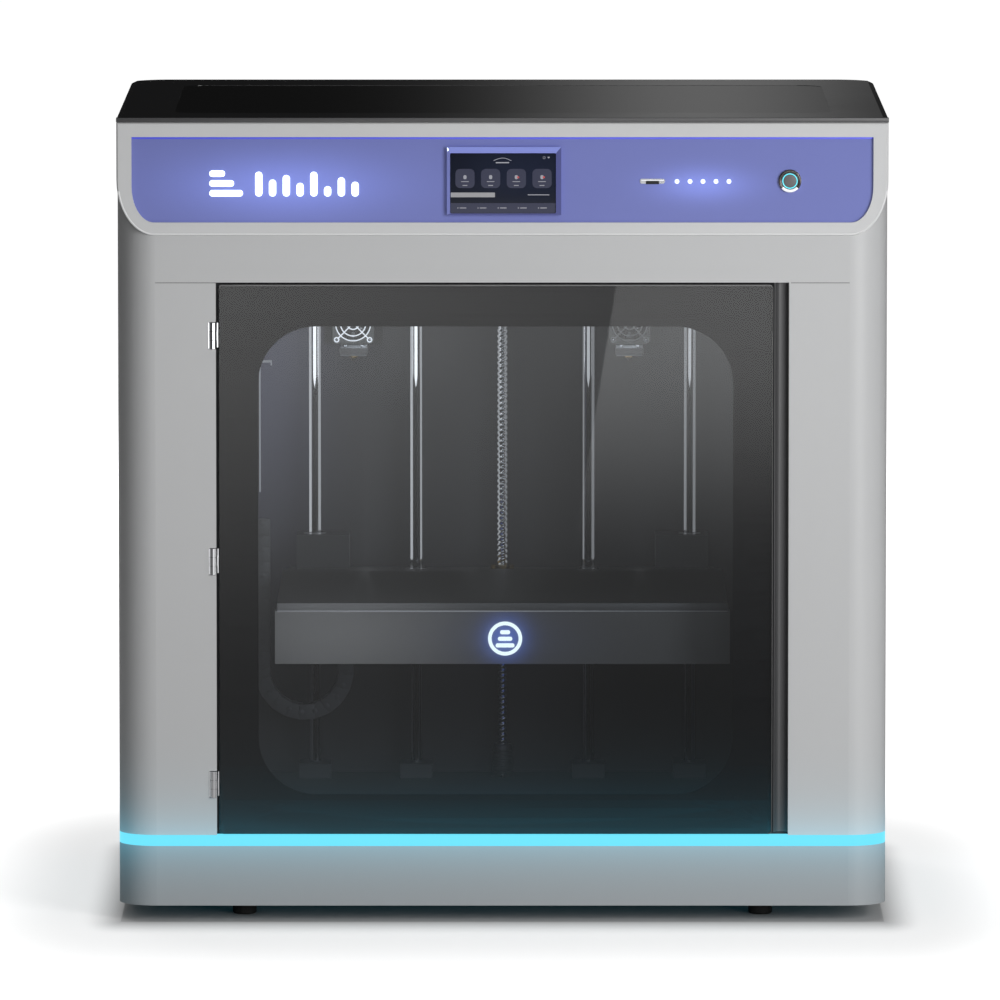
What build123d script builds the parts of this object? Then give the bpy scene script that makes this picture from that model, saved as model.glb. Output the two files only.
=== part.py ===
from build123d import *
import os

os.makedirs("parts", exist_ok=True)

# Enclosed desktop printer with two independent print heads and a bed that moves up and down.
# Millimetres, +X right, +Y to the back, +Z up. The origin is under the middle of the whole machine.

# driving dimensions
WIDTH = 690.0
BODY_DEPTH = 490.0
OVERALL_DEPTH = 575.0
HEIGHT = 725.0
HINGE_PROUD = 3.5
FRONT = -OVERALL_DEPTH / 2 + HINGE_PROUD
BACK = FRONT + BODY_DEPTH
REAR_END = OVERALL_DEPTH / 2
MIDDLE = (FRONT + BACK) / 2
CORNER = 34.3
SHEET = 2.5

FOOT_H = 15.0
SKIRT_TOP = 69.0
GLOW_TOP = 79.0
FLOOR_TOP = 81.5
SHELL_TOP = 720.6
LID_BOTTOM = 721.0

DOOR_LEFT = -254.5
DOOR_RIGHT = 242.5
DOOR_BOTTOM = 79.7
DOOR_TOP = 575.6
DOOR_GLASS = 5.0
HINGE_X = -259.0
HINGE_HEIGHTS = (529.5, 326.2, 124.8)
PILLAR_X = 256.5
SEAM_Z = 577.2

FASCIA_BOTTOM = 619.4
FASCIA_PROUD = 1.5
FASCIA_WALL = 3.0
FASCIA_DEPTH = 34.0

WALL_X = 262.0
WALL_T = 2.0
WALL_BACK = 146.5
DECK_TOP = 702.5

ROD_Y = 116.5
ROD_R = 6.0
ROD_XS = (-174.0, -80.0, 80.0, 174.0)
ROD_TOP = 545.0
SCREW_R = 5.0

BED_HALF = 205.7
BED_FRONT = -198.5
BED_TOP = 279.2
APRON_BOTTOM = 223.7
APRON_TOP = 271.9

NOZZLE_Y = -63.5
NOZZLE_Z = 486.3
LEFT_HEAD_X = -136.0
RIGHT_HEAD_X = 116.0
FIT = 0.05


def block(x0, x1, y0, y1, z0, z1):
    return Pos((x0 + x1) / 2, (y0 + y1) / 2, (z0 + z1) / 2) * Box(x1 - x0, y1 - y0, z1 - z0)


def rod_z(x, y, z0, z1, r):
    return Pos(x, y, (z0 + z1) / 2) * Cylinder(r, z1 - z0)


def rod_x(y, z, x0, x1, r):
    return Pos((x0 + x1) / 2, y, z) * Rot(0, 90, 0) * Cylinder(r, x1 - x0)


def rod_y(x, z, y0, y1, r):
    return Pos(x, (y0 + y1) / 2, z) * Rot(90, 0, 0) * Cylinder(r, y1 - y0)


def plan_slab(inset, z0, z1):
    outline = RectangleRounded(WIDTH - 2 * inset, BODY_DEPTH - 2 * inset, CORNER - inset)
    return Pos(0, MIDDLE, z0) * extrude(outline, z1 - z0)


def front_slab(x0, x1, z0, z1, r, y0, y1):
    face = Plane.XZ.offset(-y1) * Pos((x0 + x1) / 2, (z0 + z1) / 2) * RectangleRounded(x1 - x0, z1 - z0, r)
    return extrude(face, y1 - y0)


def swept_front(half, top, bottom, side_w, side_h, y0, y1):
    """Front outline whose two lower corners sweep in along quarter ellipses."""
    k = 0.5523
    flat = half - side_w
    knee = bottom + side_h
    right = Bezier((flat, bottom), (flat + k * side_w, bottom), (half, knee - k * side_h), (half, knee))
    left = Bezier((-half, knee), (-half, knee - k * side_h), (-flat - k * side_w, bottom), (-flat, bottom))
    upper = Polyline((half, knee), (half, top), (-half, top), (-half, knee))
    lower = Line((-flat, bottom), (flat, bottom))
    face = make_face([right, upper, left, lower])
    return extrude(Plane.XZ.offset(-y1) * face, y1 - y0)


def mirrored(shape):
    return shape + mirror(shape, Plane.YZ)


def save(shape, name):
    export_step(shape, f"parts/{name}.step")


# base

def base_pan():
    pan = plan_slab(0, FOOT_H, FOOT_H + 3)
    pan += plan_slab(0, FOOT_H + 3, SKIRT_TOP) - plan_slab(3, FOOT_H + 3, SKIRT_TOP)
    for i in range(9):
        x = -160 + 40 * i
        pan -= front_free_slot(x, 60, 5)
    return pan


def front_free_slot(x, length, width):
    return Pos(x, MIDDLE, FOOT_H) * extrude(SlotCenterToCenter(length, width, 90), 3)


def glow_ring():
    return plan_slab(0, SKIRT_TOP, GLOW_TOP) - plan_slab(8, SKIRT_TOP, GLOW_TOP)


def feet():
    out = None
    for x in (-233, 233):
        for y in (FRONT + 60, BACK - 60):
            foot = Pos(x, y, FOOT_H / 2) * Cylinder(10.8, FOOT_H)
            foot = chamfer(foot.edges().filter_by(GeomType.CIRCLE).group_by(Axis.Z)[0], 1.5)
            out = foot if out is None else out + foot
    return out


def chamber_floor():
    plate = plan_slab(SHEET, GLOW_TOP, FLOOR_TOP)
    plate -= block(-PILLAR_X, PILLAR_X, FRONT, FRONT + 8.5, GLOW_TOP, FLOOR_TOP)
    plate -= rod_z(0, ROD_Y, GLOW_TOP, FLOOR_TOP, 11)
    return plate


# outer shell

def fascia_block():
    return swept_front(WIDTH / 2, SHELL_TOP, FASCIA_BOTTOM, 34.3, 50, FRONT - FASCIA_PROUD, FRONT + FASCIA_DEPTH)


def panel_outline(grow, y0, y1):
    return swept_front(331.5 + grow, 707.7 + grow, 631.1 - grow, 20, 32, y0, y1)


def fascia_bezel():
    outer = fascia_block()
    rim = outer.faces().sort_by(Axis.Y)[0].outer_wire().edges()
    outer = chamfer(rim, 1.2)
    w = FASCIA_WALL
    hollow = swept_front(WIDTH / 2 - w, SHELL_TOP - w, FASCIA_BOTTOM + w, 32, 47,
                         FRONT - FASCIA_PROUD + w, FRONT + FASCIA_DEPTH)
    return outer - hollow - panel_outline(0, FRONT - FASCIA_PROUD, FRONT + w)


def side_panels():
    shell = plan_slab(0, GLOW_TOP, SHELL_TOP) - plan_slab(SHEET, GLOW_TOP, SHELL_TOP)
    side = block(310.7, 346, FRONT, BACK, GLOW_TOP, SHELL_TOP)
    side += block(PILLAR_X, 346, FRONT, FRONT + SHEET, GLOW_TOP, SEAM_Z)
    panels = shell & mirrored(side)
    panels -= fascia_block()
    for z in HINGE_HEIGHTS:
        panels -= block(HINGE_X - 4.3, -PILLAR_X, FRONT, FRONT + SHEET, z - 12.1, z + 12.1)
    for i in range(8):
        y = MIDDLE + 60 + 14 * i
        slot = block(-346, 346, y, y + 5, 110, 180)
        panels -= slot
    return panels


def header_panel():
    return block(-310.7, 310.7, FRONT, FRONT + SHEET, SEAM_Z, FASCIA_BOTTOM)


def rear_panel():
    panel = block(-310.7, 310.7, BACK - SHEET, BACK, GLOW_TOP, SHELL_TOP)
    panel -= rod_y(0, 560, BACK - SHEET, BACK, 37.5)
    panel -= block(-271, -239, BACK - SHEET, BACK, 94, 156)
    for row in range(3):
        for i in range(12):
            x = -110 + 28 * i
            z = 130 + 46 * row
            panel -= front_slab(x - 3, x + 3, z, z + 36, 2.9, BACK - SHEET, BACK)
    return panel


def control_panel():
    panel = panel_outline(5, FRONT + 1.5, FRONT + 4)
    panel -= rod_y(256.9, 668.3, FRONT + 1.5, FRONT + 4, 8.8)
    panel -= block(124, 144, FRONT + 1.5, FRONT + 4, 666.3, 669.7)
    return panel


def screen_frame():
    frame = front_slab(-49.5, 52.3, 638.2, 698.7, 3, FRONT - 2, FRONT + 1.5)
    frame = chamfer(frame.faces().sort_by(Axis.Y)[0].outer_wire().edges(), 0.8)
    return frame - front_slab(-46.9, 47.8, 639.3, 693.3, 1.2, FRONT - 2, FRONT + 1.5)


def touchscreen():
    return front_slab(-46.9, 47.8, 639.3, 693.3, 1.2, FRONT - 0.8, FRONT + 1.5)


def panel_lights():
    """A layered bar mark on the left and a row of five status lights on the right."""
    y0 = FRONT + 0.7
    y1 = FRONT + 1.5
    lights = None
    for row, width in enumerate((30, 22, 14)):
        bar = front_slab(-262, -262 + width, 654.4 + 8.8 * row, 660 + 8.8 * row, 2.7, y0, y1)
        lights = bar if lights is None else lights + bar
    for i in range(8):
        tall = (22, 15, 19, 12, 22, 9, 17, 13)[i]
        x = -221 + 12.3 * i
        lights += front_slab(x, x + 6.4, 654.4, 654.4 + tall, 3.1, y0, y1)
    for i in range(5):
        lights += rod_y(156 + 11.6 * i, 667.8, y0, y1, 1.9)
    return lights


def card_slot():
    sleeve = front_slab(123, 145, 665.8, 670.2, 1.6, FRONT + 0.9, FRONT + 1.5)
    sleeve += block(124, 144, FRONT + 1.5, FRONT + 16, 666.3, 669.7)
    return sleeve - block(126, 142, FRONT + 0.9, FRONT + 14, 667.2, 668.8)


def power_button_housing():
    ring = rod_y(256.9, 668.3, FRONT - 0.6, FRONT + 1.5, 10.3)
    ring += rod_y(256.9, 668.3, FRONT + 1.5, FRONT + 4, 8.8)
    ring += rod_y(256.9, 668.3, FRONT + 4, FRONT + 22, 10.5)
    ring -= rod_y(256.9, 668.3, FRONT - 0.6, FRONT + 11, 7.6)
    return ring


def power_button():
    return rod_y(256.9, 668.3, FRONT - 0.9, FRONT + 8, 7.3)


# door

def door_glass():
    slab = front_slab(DOOR_LEFT, DOOR_RIGHT, DOOR_BOTTOM, DOOR_TOP, 4.5, FRONT, FRONT + DOOR_GLASS)
    return chamfer(slab.faces().sort_by(Axis.Y)[0].outer_wire().edges(), 0.9)


def door_mask():
    y0 = FRONT + DOOR_GLASS
    mask = front_slab(DOOR_LEFT, DOOR_RIGHT, DOOR_BOTTOM, DOOR_TOP, 4.5, y0, y0 + 1)
    return mask - front_slab(-219, 206.7, 115.2, 537.3, 52, y0, y0 + 1)


def door_hinge_leaves():
    leaves = None
    for z in HINGE_HEIGHTS:
        leaf = rod_z(HINGE_X, FRONT, z - 3.8, z + 3.8, 3.5)
        leaf += block(HINGE_X + 1.5, HINGE_X + 4.2, FRONT, FRONT + 7.5, z - 3.8, z + 3.8)
        leaf += block(HINGE_X + 1.5, HINGE_X + 26, FRONT + 6, FRONT + 7.5, z - 11, z + 11)
        leaf -= rod_z(HINGE_X, FRONT, z - 3.8, z + 3.8, 1.5 + FIT)
        leaves = leaf if leaves is None else leaves + leaf
    return leaves


def door_hinge_body():
    out = None
    for z in HINGE_HEIGHTS:
        part = rod_z(HINGE_X, FRONT, z - 11.7, z + 11.7, 3.5)
        part += block(HINGE_X - 4.3, HINGE_X, FRONT + 0.6, FRONT + 3.4, z - 11.7, z + 11.7)
        part -= block(HINGE_X - 3.6, HINGE_X + 8, FRONT - 5, FRONT + 9, z - 4.1, z + 4.1)
        part += block(HINGE_X - 31, HINGE_X - 4.3, FRONT + 2.5, FRONT + 9, z - 18, z + 18)
        part += rod_z(HINGE_X, FRONT, z - 11.7, z + 11.7, 1.5)
        out = part if out is None else out + part
    return out


def finger_channel():
    rail = block(243.4, PILLAR_X, FRONT + 1, FRONT + 9, FLOOR_TOP, 577)
    return rail - rod_z(250, FRONT + 0.6, FLOOR_TOP, 577, 5.9)


def inner_frame():
    """Black sheet frame the door closes on, the shelf behind the controls and the deck under the lid."""
    wall = WALL_X + WALL_T
    jamb = block(-wall, wall, FRONT + 9, FRONT + 12, FLOOR_TOP, 612)
    jamb -= front_slab(-240, 228, 100, 555, 20, FRONT + 9, FRONT + 12)
    frame = jamb + block(-wall, wall, FRONT + 12, FRONT + 36.5, 610, 612)
    frame += block(-wall, wall, FRONT + 34.5, FRONT + 36.5, 612, 700)
    deck = plan_slab(SHEET, 700, DECK_TOP) - block(-346, 346, FRONT, FRONT + 34.5, 700, DECK_TOP)
    deck -= block(-WALL_X, WALL_X, FRONT + 36.5, WALL_BACK, 700, DECK_TOP)
    return frame + deck


def chamber_walls(frame):
    wall = WALL_X + WALL_T
    side = block(WALL_X, wall, FRONT + 12, WALL_BACK, FLOOR_TOP, 700)
    walls = mirrored(side) + block(-wall, wall, WALL_BACK, WALL_BACK + WALL_T, FLOOR_TOP, 700)
    walls -= block(-wall, wall, FRONT + 12, FRONT + 36.5, 610, 700)
    return walls


def chamber_lights():
    bar = block(WALL_X - 5, WALL_X, FRONT + 60, 100, 682, 692)
    return mirrored(bar)


# lid

def lid_frame():
    front_part = block(-WIDTH / 2, WIDTH / 2, FRONT - FASCIA_PROUD, MIDDLE, LID_BOTTOM, HEIGHT)
    rear_part = plan_slab(0, LID_BOTTOM, HEIGHT) & block(-346, 346, MIDDLE, BACK, LID_BOTTOM, HEIGHT)
    lid = front_part + rear_part
    for side in (-1, 1):
        cut = Pos(side * WIDTH / 2, MIDDLE, HEIGHT) * Rot(0, side * 18, 0) * Box(12, BODY_DEPTH + 20, 3)
        lid -= cut & block(-346, 346, FRONT + 3, BACK, LID_BOTTOM, HEIGHT + 5)
    lid -= Pos(0, -49, LID_BOTTOM) * extrude(RectangleRounded(582, 348, 18), 4)
    lid -= Pos(0, -49, LID_BOTTOM + 1) * extrude(RectangleRounded(590, 356, 22), 3)
    return lid


def lid_window():
    return Pos(0, -49, LID_BOTTOM + 1) * extrude(RectangleRounded(590, 356, 22), 2.8)


LID_PIVOT_Y = BACK + 4.3
LID_PIVOT_Z = 716.0
LID_HINGES = (-200.0, 200.0)


def lid_hinge_fixed():
    out = None
    for x in LID_HINGES:
        part = rod_x(LID_PIVOT_Y, LID_PIVOT_Z, x - 24, x + 24, 3.5)
        part += block(x - 24, x + 24, BACK, LID_PIVOT_Y, LID_PIVOT_Z - 3.5, LID_PIVOT_Z)
        part += block(x - 24, x + 24, BACK, BACK + 1.5, LID_PIVOT_Z - 28, LID_PIVOT_Z - 3)
        part -= block(x - 8.3, x + 8.3, BACK, BACK + 9, LID_PIVOT_Z - 4.2, LID_PIVOT_Z + 4)
        part += rod_x(LID_PIVOT_Y, LID_PIVOT_Z, x - 24, x + 24, 1.5)
        out = part if out is None else out + part
    return out


def lid_hinge_leaves():
    out = None
    for x in LID_HINGES:
        part = rod_x(LID_PIVOT_Y, LID_PIVOT_Z, x - 8, x + 8, 3.5)
        part += block(x - 8, x + 8, BACK + 1.2, LID_PIVOT_Y, LID_PIVOT_Z, HEIGHT - 1)
        part += block(x - 24, x + 24, BACK, BACK + 2.2, LID_BOTTOM + 0.2, HEIGHT - 0.5)
        part -= rod_x(LID_PIVOT_Y, LID_PIVOT_Z, x - 8, x + 8, 1.5 + FIT)
        out = part if out is None else out + part
    return out


# frame inside the chamber

def guide_rods():
    rods = None
    for x in ROD_XS:
        rod = rod_z(x, ROD_Y, FLOOR_TOP, ROD_TOP, ROD_R)
        rods = rod if rods is None else rods + rod
    for x in (-248, 248):
        rods += rod_y(x, 640, FRONT + 36.5, WALL_BACK, 5)
    return rods


def rod_clamps():
    clamps = None
    for x in ROD_XS:
        foot = block(x - 15, x + 15, 98, 135, FLOOR_TOP, 95)
        foot += block(x - 15, x + 15, 98, WALL_BACK, 540, 556)
        foot -= rod_z(x, ROD_Y, FLOOR_TOP, ROD_TOP, ROD_R)
        clamps = foot if clamps is None else clamps + foot
    top = block(-18, 18, 98, WALL_BACK, 540, 556)
    clamps += top - rod_z(0, ROD_Y, 540, 556, SCREW_R + FIT)
    for x in (-248, 248):
        for y0, y1 in ((FRONT + 36.5, FRONT + 46.5), (WALL_BACK - 4, WALL_BACK)):
            cap = block(x - 12, x + 12, y0, y1, 628, 652)
            clamps += cap - rod_y(x, 640, y0, y1, 5)
    return clamps


def z_motor():
    body = block(-21.15, 21.15, ROD_Y - 21.15, ROD_Y + 21.15, 39, 79)
    body = chamfer(body.edges().filter_by(Axis.Z), 3)
    return body - rod_z(0, ROD_Y, 70, 79, 3.5)


def z_screw():
    screw = rod_z(0, ROD_Y, 98, 550, SCREW_R)
    screw += rod_z(0, ROD_Y, 86, 112, 9.5)
    screw += rod_z(0, ROD_Y, 73, 98, 2.5)
    return screw


def y_belts():
    belts = None
    for x in (-249, 249):
        for y in (FRONT + 52, WALL_BACK - 12):
            wheel = rod_x(y, 672, x - 4.5, x + 4.5, 7)
            wheel += rod_x(y, 672, x, x + (13 if x > 0 else -13), 2) if x > 0 else rod_x(y, 672, -262, x, 2)
            belts = wheel if belts is None else belts + wheel
        for z in (664.2, 678.2):
            belts += block(x - 3, x + 3, FRONT + 52, WALL_BACK - 12, z, z + 1.6)
    return belts


def cable_chain():
    """U-shaped cable carrier between the left wall and the bed."""
    x, z, y0, y1 = -183.5, 186.5, 62, 82
    loop = rod_y(x, z, y0, y1, 45.5) - rod_y(x, z, y0, y1, 31.5)
    loop -= block(x - 50, x + 50, y0, y1, z, z + 50)
    loop += block(x - 45.5, x - 31.5, y0, y1, z, 330)
    loop += block(x + 31.5, x + 45.5, y0, y1, z, 247.7)
    loop += block(-WALL_X, x - 45.5, y0, y1, 314, 330)
    return loop


# bed

def bed_tray():
    tray = block(-BED_HALF, BED_HALF, BED_FRONT, BED_FRONT + 2, APRON_BOTTOM, APRON_TOP)
    side = block(BED_HALF - 2, BED_HALF, BED_FRONT + 2, 98, APRON_BOTTOM + 14, APRON_TOP - 6)
    tray += mirrored(side)
    tray += block(-BED_HALF + 2, BED_HALF - 2, BED_FRONT + 2, 98, 248, 250)
    tray += block(-BED_HALF + 2, BED_HALF - 2, 96, 98, 250, APRON_TOP - 6)
    tray += block(-BED_HALF, BED_HALF, BED_FRONT, BED_FRONT + 14, APRON_TOP - 1.5, APRON_TOP)
    return tray


def heater_plate():
    plate = block(-198, 198, BED_FRONT + 3, 80, APRON_TOP, APRON_TOP + 3.1)
    for x in (-180, 180):
        for y in (-160, 62):
            for i in range(4):
                ring = Pos(x, y, 251.2 + 5 * i) * Torus(5, 1.2)
                plate += ring
            plate += rod_z(x, y, 250, APRON_TOP, 4)
    return plate


def build_plate():
    plate = block(-203.5, 203.5, BED_FRONT - 0.6, 84, APRON_TOP + 3.1, BED_TOP)
    return fillet(plate.edges().filter_by(Axis.Z), 4)


def bed_bridge():
    bridge = block(-197, 197, 98, 135, 246, 276)
    for s in (-1, 1):
        bridge += block(min(s * 142, s * 191), max(s * 142, s * 191), 98, 135, 276, 309)
    for x in ROD_XS:
        bridge -= rod_z(x, ROD_Y, 240, 310, 10.5)
    bridge -= rod_z(0, ROD_Y, 240, 310, 8)
    return bridge


def linear_bearings():
    out = None
    for x in ROD_XS:
        top = 309 if abs(x) > 100 else 276
        sleeve = rod_z(x, ROD_Y, 246, top, 10.5) - rod_z(x, ROD_Y, 246, top, ROD_R + FIT)
        out = sleeve if out is None else out + sleeve
    return out


def z_nut():
    nut = rod_z(0, ROD_Y, 246, 276, 8) + rod_z(0, ROD_Y, 276, 280, 11)
    return nut - rod_z(0, ROD_Y, 246, 280, SCREW_R + FIT)


def bed_emblem():
    """Raised ring with a drop in the middle, standing on the apron."""
    x, z = 2.4, 246.8
    y0, y1 = BED_FRONT - 1.2, BED_FRONT
    ring = rod_y(x, z, y0, y1, 15.4) - rod_y(x, z, y0, y1, 12.2)
    for i, half in enumerate((8.5, 8.5, 8.5)):
        ring += front_slab(x - half + 2 * i, x + half - 2 * i, z - 8 + 6 * i, z - 4.4 + 6 * i, 1.7, y0, y1)
    return ring


# gantry and heads

def x_beam():
    beam = block(-231, 231, -28, -8, 620, 660)
    for z in (630, 650):
        beam -= block(-231, 231, -11, -8, z - 3, z + 3)
    beam += block(-228, 228, -34, -28, 634, 646)
    return beam


def y_carriages():
    block_l = block(-260, -231, -44, 2, 622, 658) - rod_y(-248, 640, -44, 2, 5 + FIT)
    return mirrored(block_l)


def x_drives():
    """Motors on the ends of the beam with their belts running over it."""
    out = None
    for side, z in ((-1, 663), (1, 671)):
        x = side * 222
        part = block(x - 21, x + 21, -39, 3, 685, 715)
        part += rod_z(x, -18, 660, 685, 2.5)
        part += rod_z(-x, -18, 660, z + 6, 2.5)
        for px in (-222, 222):
            part += rod_z(px, -18, z, z + 6, 7)
        for y in (-26.2, -11.4):
            part += block(-222, 222, y, y + 1.6, z, z + 6)
        out = part if out is None else out + part
    return out


def carriage(hx, belt_z):
    plate = block(hx - 27, hx + 27, -46, -38.5, 500, 668)
    plate += block(hx - 22, hx + 22, -38.5, -29, 626, 654)
    plate -= block(hx - 22, hx + 22, -34.3, -28.9, 633.7, 646.3)
    plate += block(hx - 15, hx + 15, -38.5, -27, 661, 668 if belt_z < 668 else 676)
    plate += block(hx - 15, hx + 15, -78, -46, 547, 563)
    plate += block(hx - 22, hx + 22, -60, -46, 563, 612)
    for side in (-1, 1):
        plate += Pos(hx + side * 17, -62, 526) * Box(5, 32, 42)
    return plate


def hotend(hx):
    tip = Pos(hx, NOZZLE_Y, NOZZLE_Z + 1.6) * Cone(0.5, 3.2, 3.2)
    tip += rod_z(hx, NOZZLE_Y, NOZZLE_Z + 3.2, NOZZLE_Z + 5.2, 4)
    heater = block(hx - 12.2, hx + 12.2, NOZZLE_Y - 9, NOZZLE_Y + 9, NOZZLE_Z + 5.2, NOZZLE_Z + 16)
    out = tip + heater + rod_z(hx, NOZZLE_Y, NOZZLE_Z + 16, 547, 5)
    for i in range(10):
        z = 506 + 4 * i
        out += rod_z(hx, NOZZLE_Y, z, z + 1.6, 11)
    return out


def fan_frame(x, z, y0, size, depth, bore):
    half = size / 2
    frame = front_slab(x - half, x + half, z - half, z + half, 3, y0, y0 + depth)
    frame -= rod_y(x, z, y0, y0 + depth, bore)
    for angle in (45, 135):
        strut = Pos(x, y0 + depth - 0.8, z) * Rot(0, angle, 0) * Box(2 * bore + 2, 1.6, 2.4)
        frame += strut
    frame += rod_y(x, z, y0 + depth - 2.4, y0 + depth, bore * 0.42)
    return frame


def fan_guard(x, z, y0, size, bore):
    half = size / 2
    guard = front_slab(x - half, x + half, z - half, z + half, 3, y0, y0 + 1.5)
    guard -= rod_y(x, z, y0, y0 + 1.5, bore)
    for r in (0.72, 0.36):
        guard += rod_y(x, z, y0, y0 + 1.5, bore * r) - rod_y(x, z, y0, y0 + 1.5, bore * r - 1.6)
    for angle in (45, 135):
        guard += Pos(x, y0 + 0.75, z) * Rot(0, angle, 0) * Box(2 * bore + 2, 1.5, 1.8)
    return guard


def fan_rotor(x, z, y0, depth, bore, blades):
    hub_r = bore * 0.42
    tip_r = bore - 0.8
    rotor = rod_y(x, z, y0, y0 + depth, hub_r)
    for i in range(blades):
        span = tip_r - hub_r + 1
        blade = Pos(0, 0, hub_r - 1 + span / 2) * Rot(0, 0, 38) * Box(1.2, depth, span)
        rotor += Pos(x, y0 + depth / 2, z) * Rot(0, 360 / blades * i, 0) * blade
    return rotor & rod_y(x, z, y0, y0 + depth, tip_r)


def head_fan(hx):
    y0 = -89.5
    return fan_frame(hx, 523, y0 + 1.5, 40, 10, 19) + fan_guard(hx, 523, y0, 40, 19)


# outside fittings

def spool_spindles():
    out = None
    for x in (-170, 170):
        arm = rod_y(x, 430, BACK, BACK + 3, 30)
        arm += rod_y(x, 430, BACK + 3, REAR_END, 15)
        tip = arm.faces().sort_by(Axis.Y)[-1]
        arm = chamfer(tip.edges(), 1.5)
        out = arm if out is None else out + arm
    return out


ROCKER_Y = BACK - 6
ROCKER_Z = 137.0


def power_inlet():
    body = front_slab(-275, -235, 90, 160, 3, BACK, BACK + 2)
    body += block(-271, -239, BACK - 26, BACK, 94, 156)
    body -= front_slab(-267, -243, 98, 115, 3, BACK - 16, BACK + 2)
    for dx, dz in ((-7, -2), (0, 2), (7, -2)):
        body += block(-255 + dx - 1, -255 + dx + 1, BACK - 17, BACK - 6, 106.5 + dz - 2, 106.5 + dz + 2)
    body -= block(-265, -245, BACK - 20, BACK + 2, ROCKER_Z - 11.3, ROCKER_Z + 11.3)
    return body - rod_x(ROCKER_Y, ROCKER_Z, -266, -244, 1.5 + FIT)


def rocker_switch():
    disc = rod_x(ROCKER_Y, ROCKER_Z, -264.6, -245.4, 10.8)
    for tilt in (-9, 9):
        disc -= Pos(-255, ROCKER_Y, ROCKER_Z) * Rot(tilt, 0, 0) * Pos(0, 13.6, 0) * Box(22, 10, 30)
    return disc + rod_x(ROCKER_Y, ROCKER_Z, -266, -244, 1.5)


def power_supply():
    box = block(-220, -5, WALL_BACK + WALL_T, WALL_BACK + WALL_T + 48, 110, 225)
    for i in range(12):
        x = -205 + 16 * i
        box -= block(x, x + 6, WALL_BACK + WALL_T + 46, WALL_BACK + WALL_T + 48, 130, 205)
    board = block(40, 190, WALL_BACK + WALL_T, WALL_BACK + WALL_T + 1.6, 110, 220)
    for dx, dz in ((20, 20), (50, 20), (80, 20), (110, 20), (40, 70), (95, 65)):
        board += block(40 + dx, 56 + dx, WALL_BACK + WALL_T + 1.6, WALL_BACK + WALL_T + 9, 110 + dz, 126 + dz)
    return box + board


def panel_screws():
    screws = None
    spots = [(x, z) for x in (-300, -150, 150, 300) for z in (95, 640)]
    spots += [(x, z) for x in (-300, 300) for z in (280, 460)]
    for x, z in spots:
        head = Pos(x, BACK, z) * Rot(-90, 0, 0) * Pos(0, 0, 0.9) * Cylinder(3, 1.8)
        head -= Pos(x, BACK + 1.3, z) * Rot(-90, 0, 0) * extrude(RegularPolygon(1.4, 6), 1)
        screws = head if screws is None else screws + head
    return screws


frame = inner_frame()
save(base_pan(), "base_pan")
save(glow_ring(), "led_light_guide")
save(feet(), "feet")
save(chamber_floor(), "chamber_floor")
save(fascia_bezel(), "fascia_bezel")
save(side_panels(), "side_panels")
save(header_panel(), "header_panel")
save(rear_panel(), "rear_panel")
save(control_panel(), "control_panel")
save(screen_frame(), "screen_frame")
save(touchscreen(), "touchscreen")
save(panel_lights(), "panel_lights")
save(card_slot(), "card_slot")
save(power_button_housing(), "power_button_housing")
save(power_button(), "power_button")
save(door_glass(), "door_glass")
save(door_mask(), "door_mask")
save(door_hinge_leaves(), "door_hinge_leaves")
save(door_hinge_body(), "door_hinge_body")
save(finger_channel(), "finger_channel")
save(frame, "inner_frame")
save(chamber_walls(frame), "chamber_walls")
save(chamber_lights(), "chamber_lights")
save(lid_frame(), "lid_frame")
save(lid_window(), "lid_window")
save(lid_hinge_fixed(), "lid_hinge_fixed")
save(lid_hinge_leaves(), "lid_hinge_leaves")
save(guide_rods(), "guide_rods")
save(rod_clamps(), "rod_clamps")
save(z_motor(), "z_motor")
save(z_screw(), "z_screw")
save(y_belts(), "y_belts")
save(cable_chain(), "cable_chain")
save(bed_tray(), "bed_tray")
save(heater_plate(), "heater_plate")
save(build_plate(), "build_plate")
save(bed_bridge(), "bed_bridge")
save(linear_bearings(), "linear_bearings")
save(z_nut(), "z_nut")
save(bed_emblem(), "bed_emblem")
save(x_beam(), "x_beam")
save(y_carriages(), "y_carriages")
save(x_drives(), "x_drives")
for side, hx, belt_z in (("left", LEFT_HEAD_X, 663), ("right", RIGHT_HEAD_X, 671)):
    save(carriage(hx, belt_z), f"{side}_carriage")
    save(hotend(hx), f"{side}_hotend")
    save(head_fan(hx), f"{side}_fan")
    save(fan_rotor(hx, 523, -87.6, 6.8, 19, 7), f"{side}_fan_rotor")
save(fan_frame(0, 560, BACK - SHEET - 25, 80, 25, 37.5), "rear_fan")
save(fan_rotor(0, 560, BACK - SHEET - 24, 20, 37.5, 7), "rear_fan_rotor")
save(spool_spindles(), "spool_spindles")
save(power_inlet(), "power_inlet")
save(rocker_switch(), "rocker_switch")
save(power_supply(), "power_supply")
save(panel_screws(), "panel_screws")
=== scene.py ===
import bpy
import bmesh
import math
from mathutils import Matrix, Vector


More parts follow.
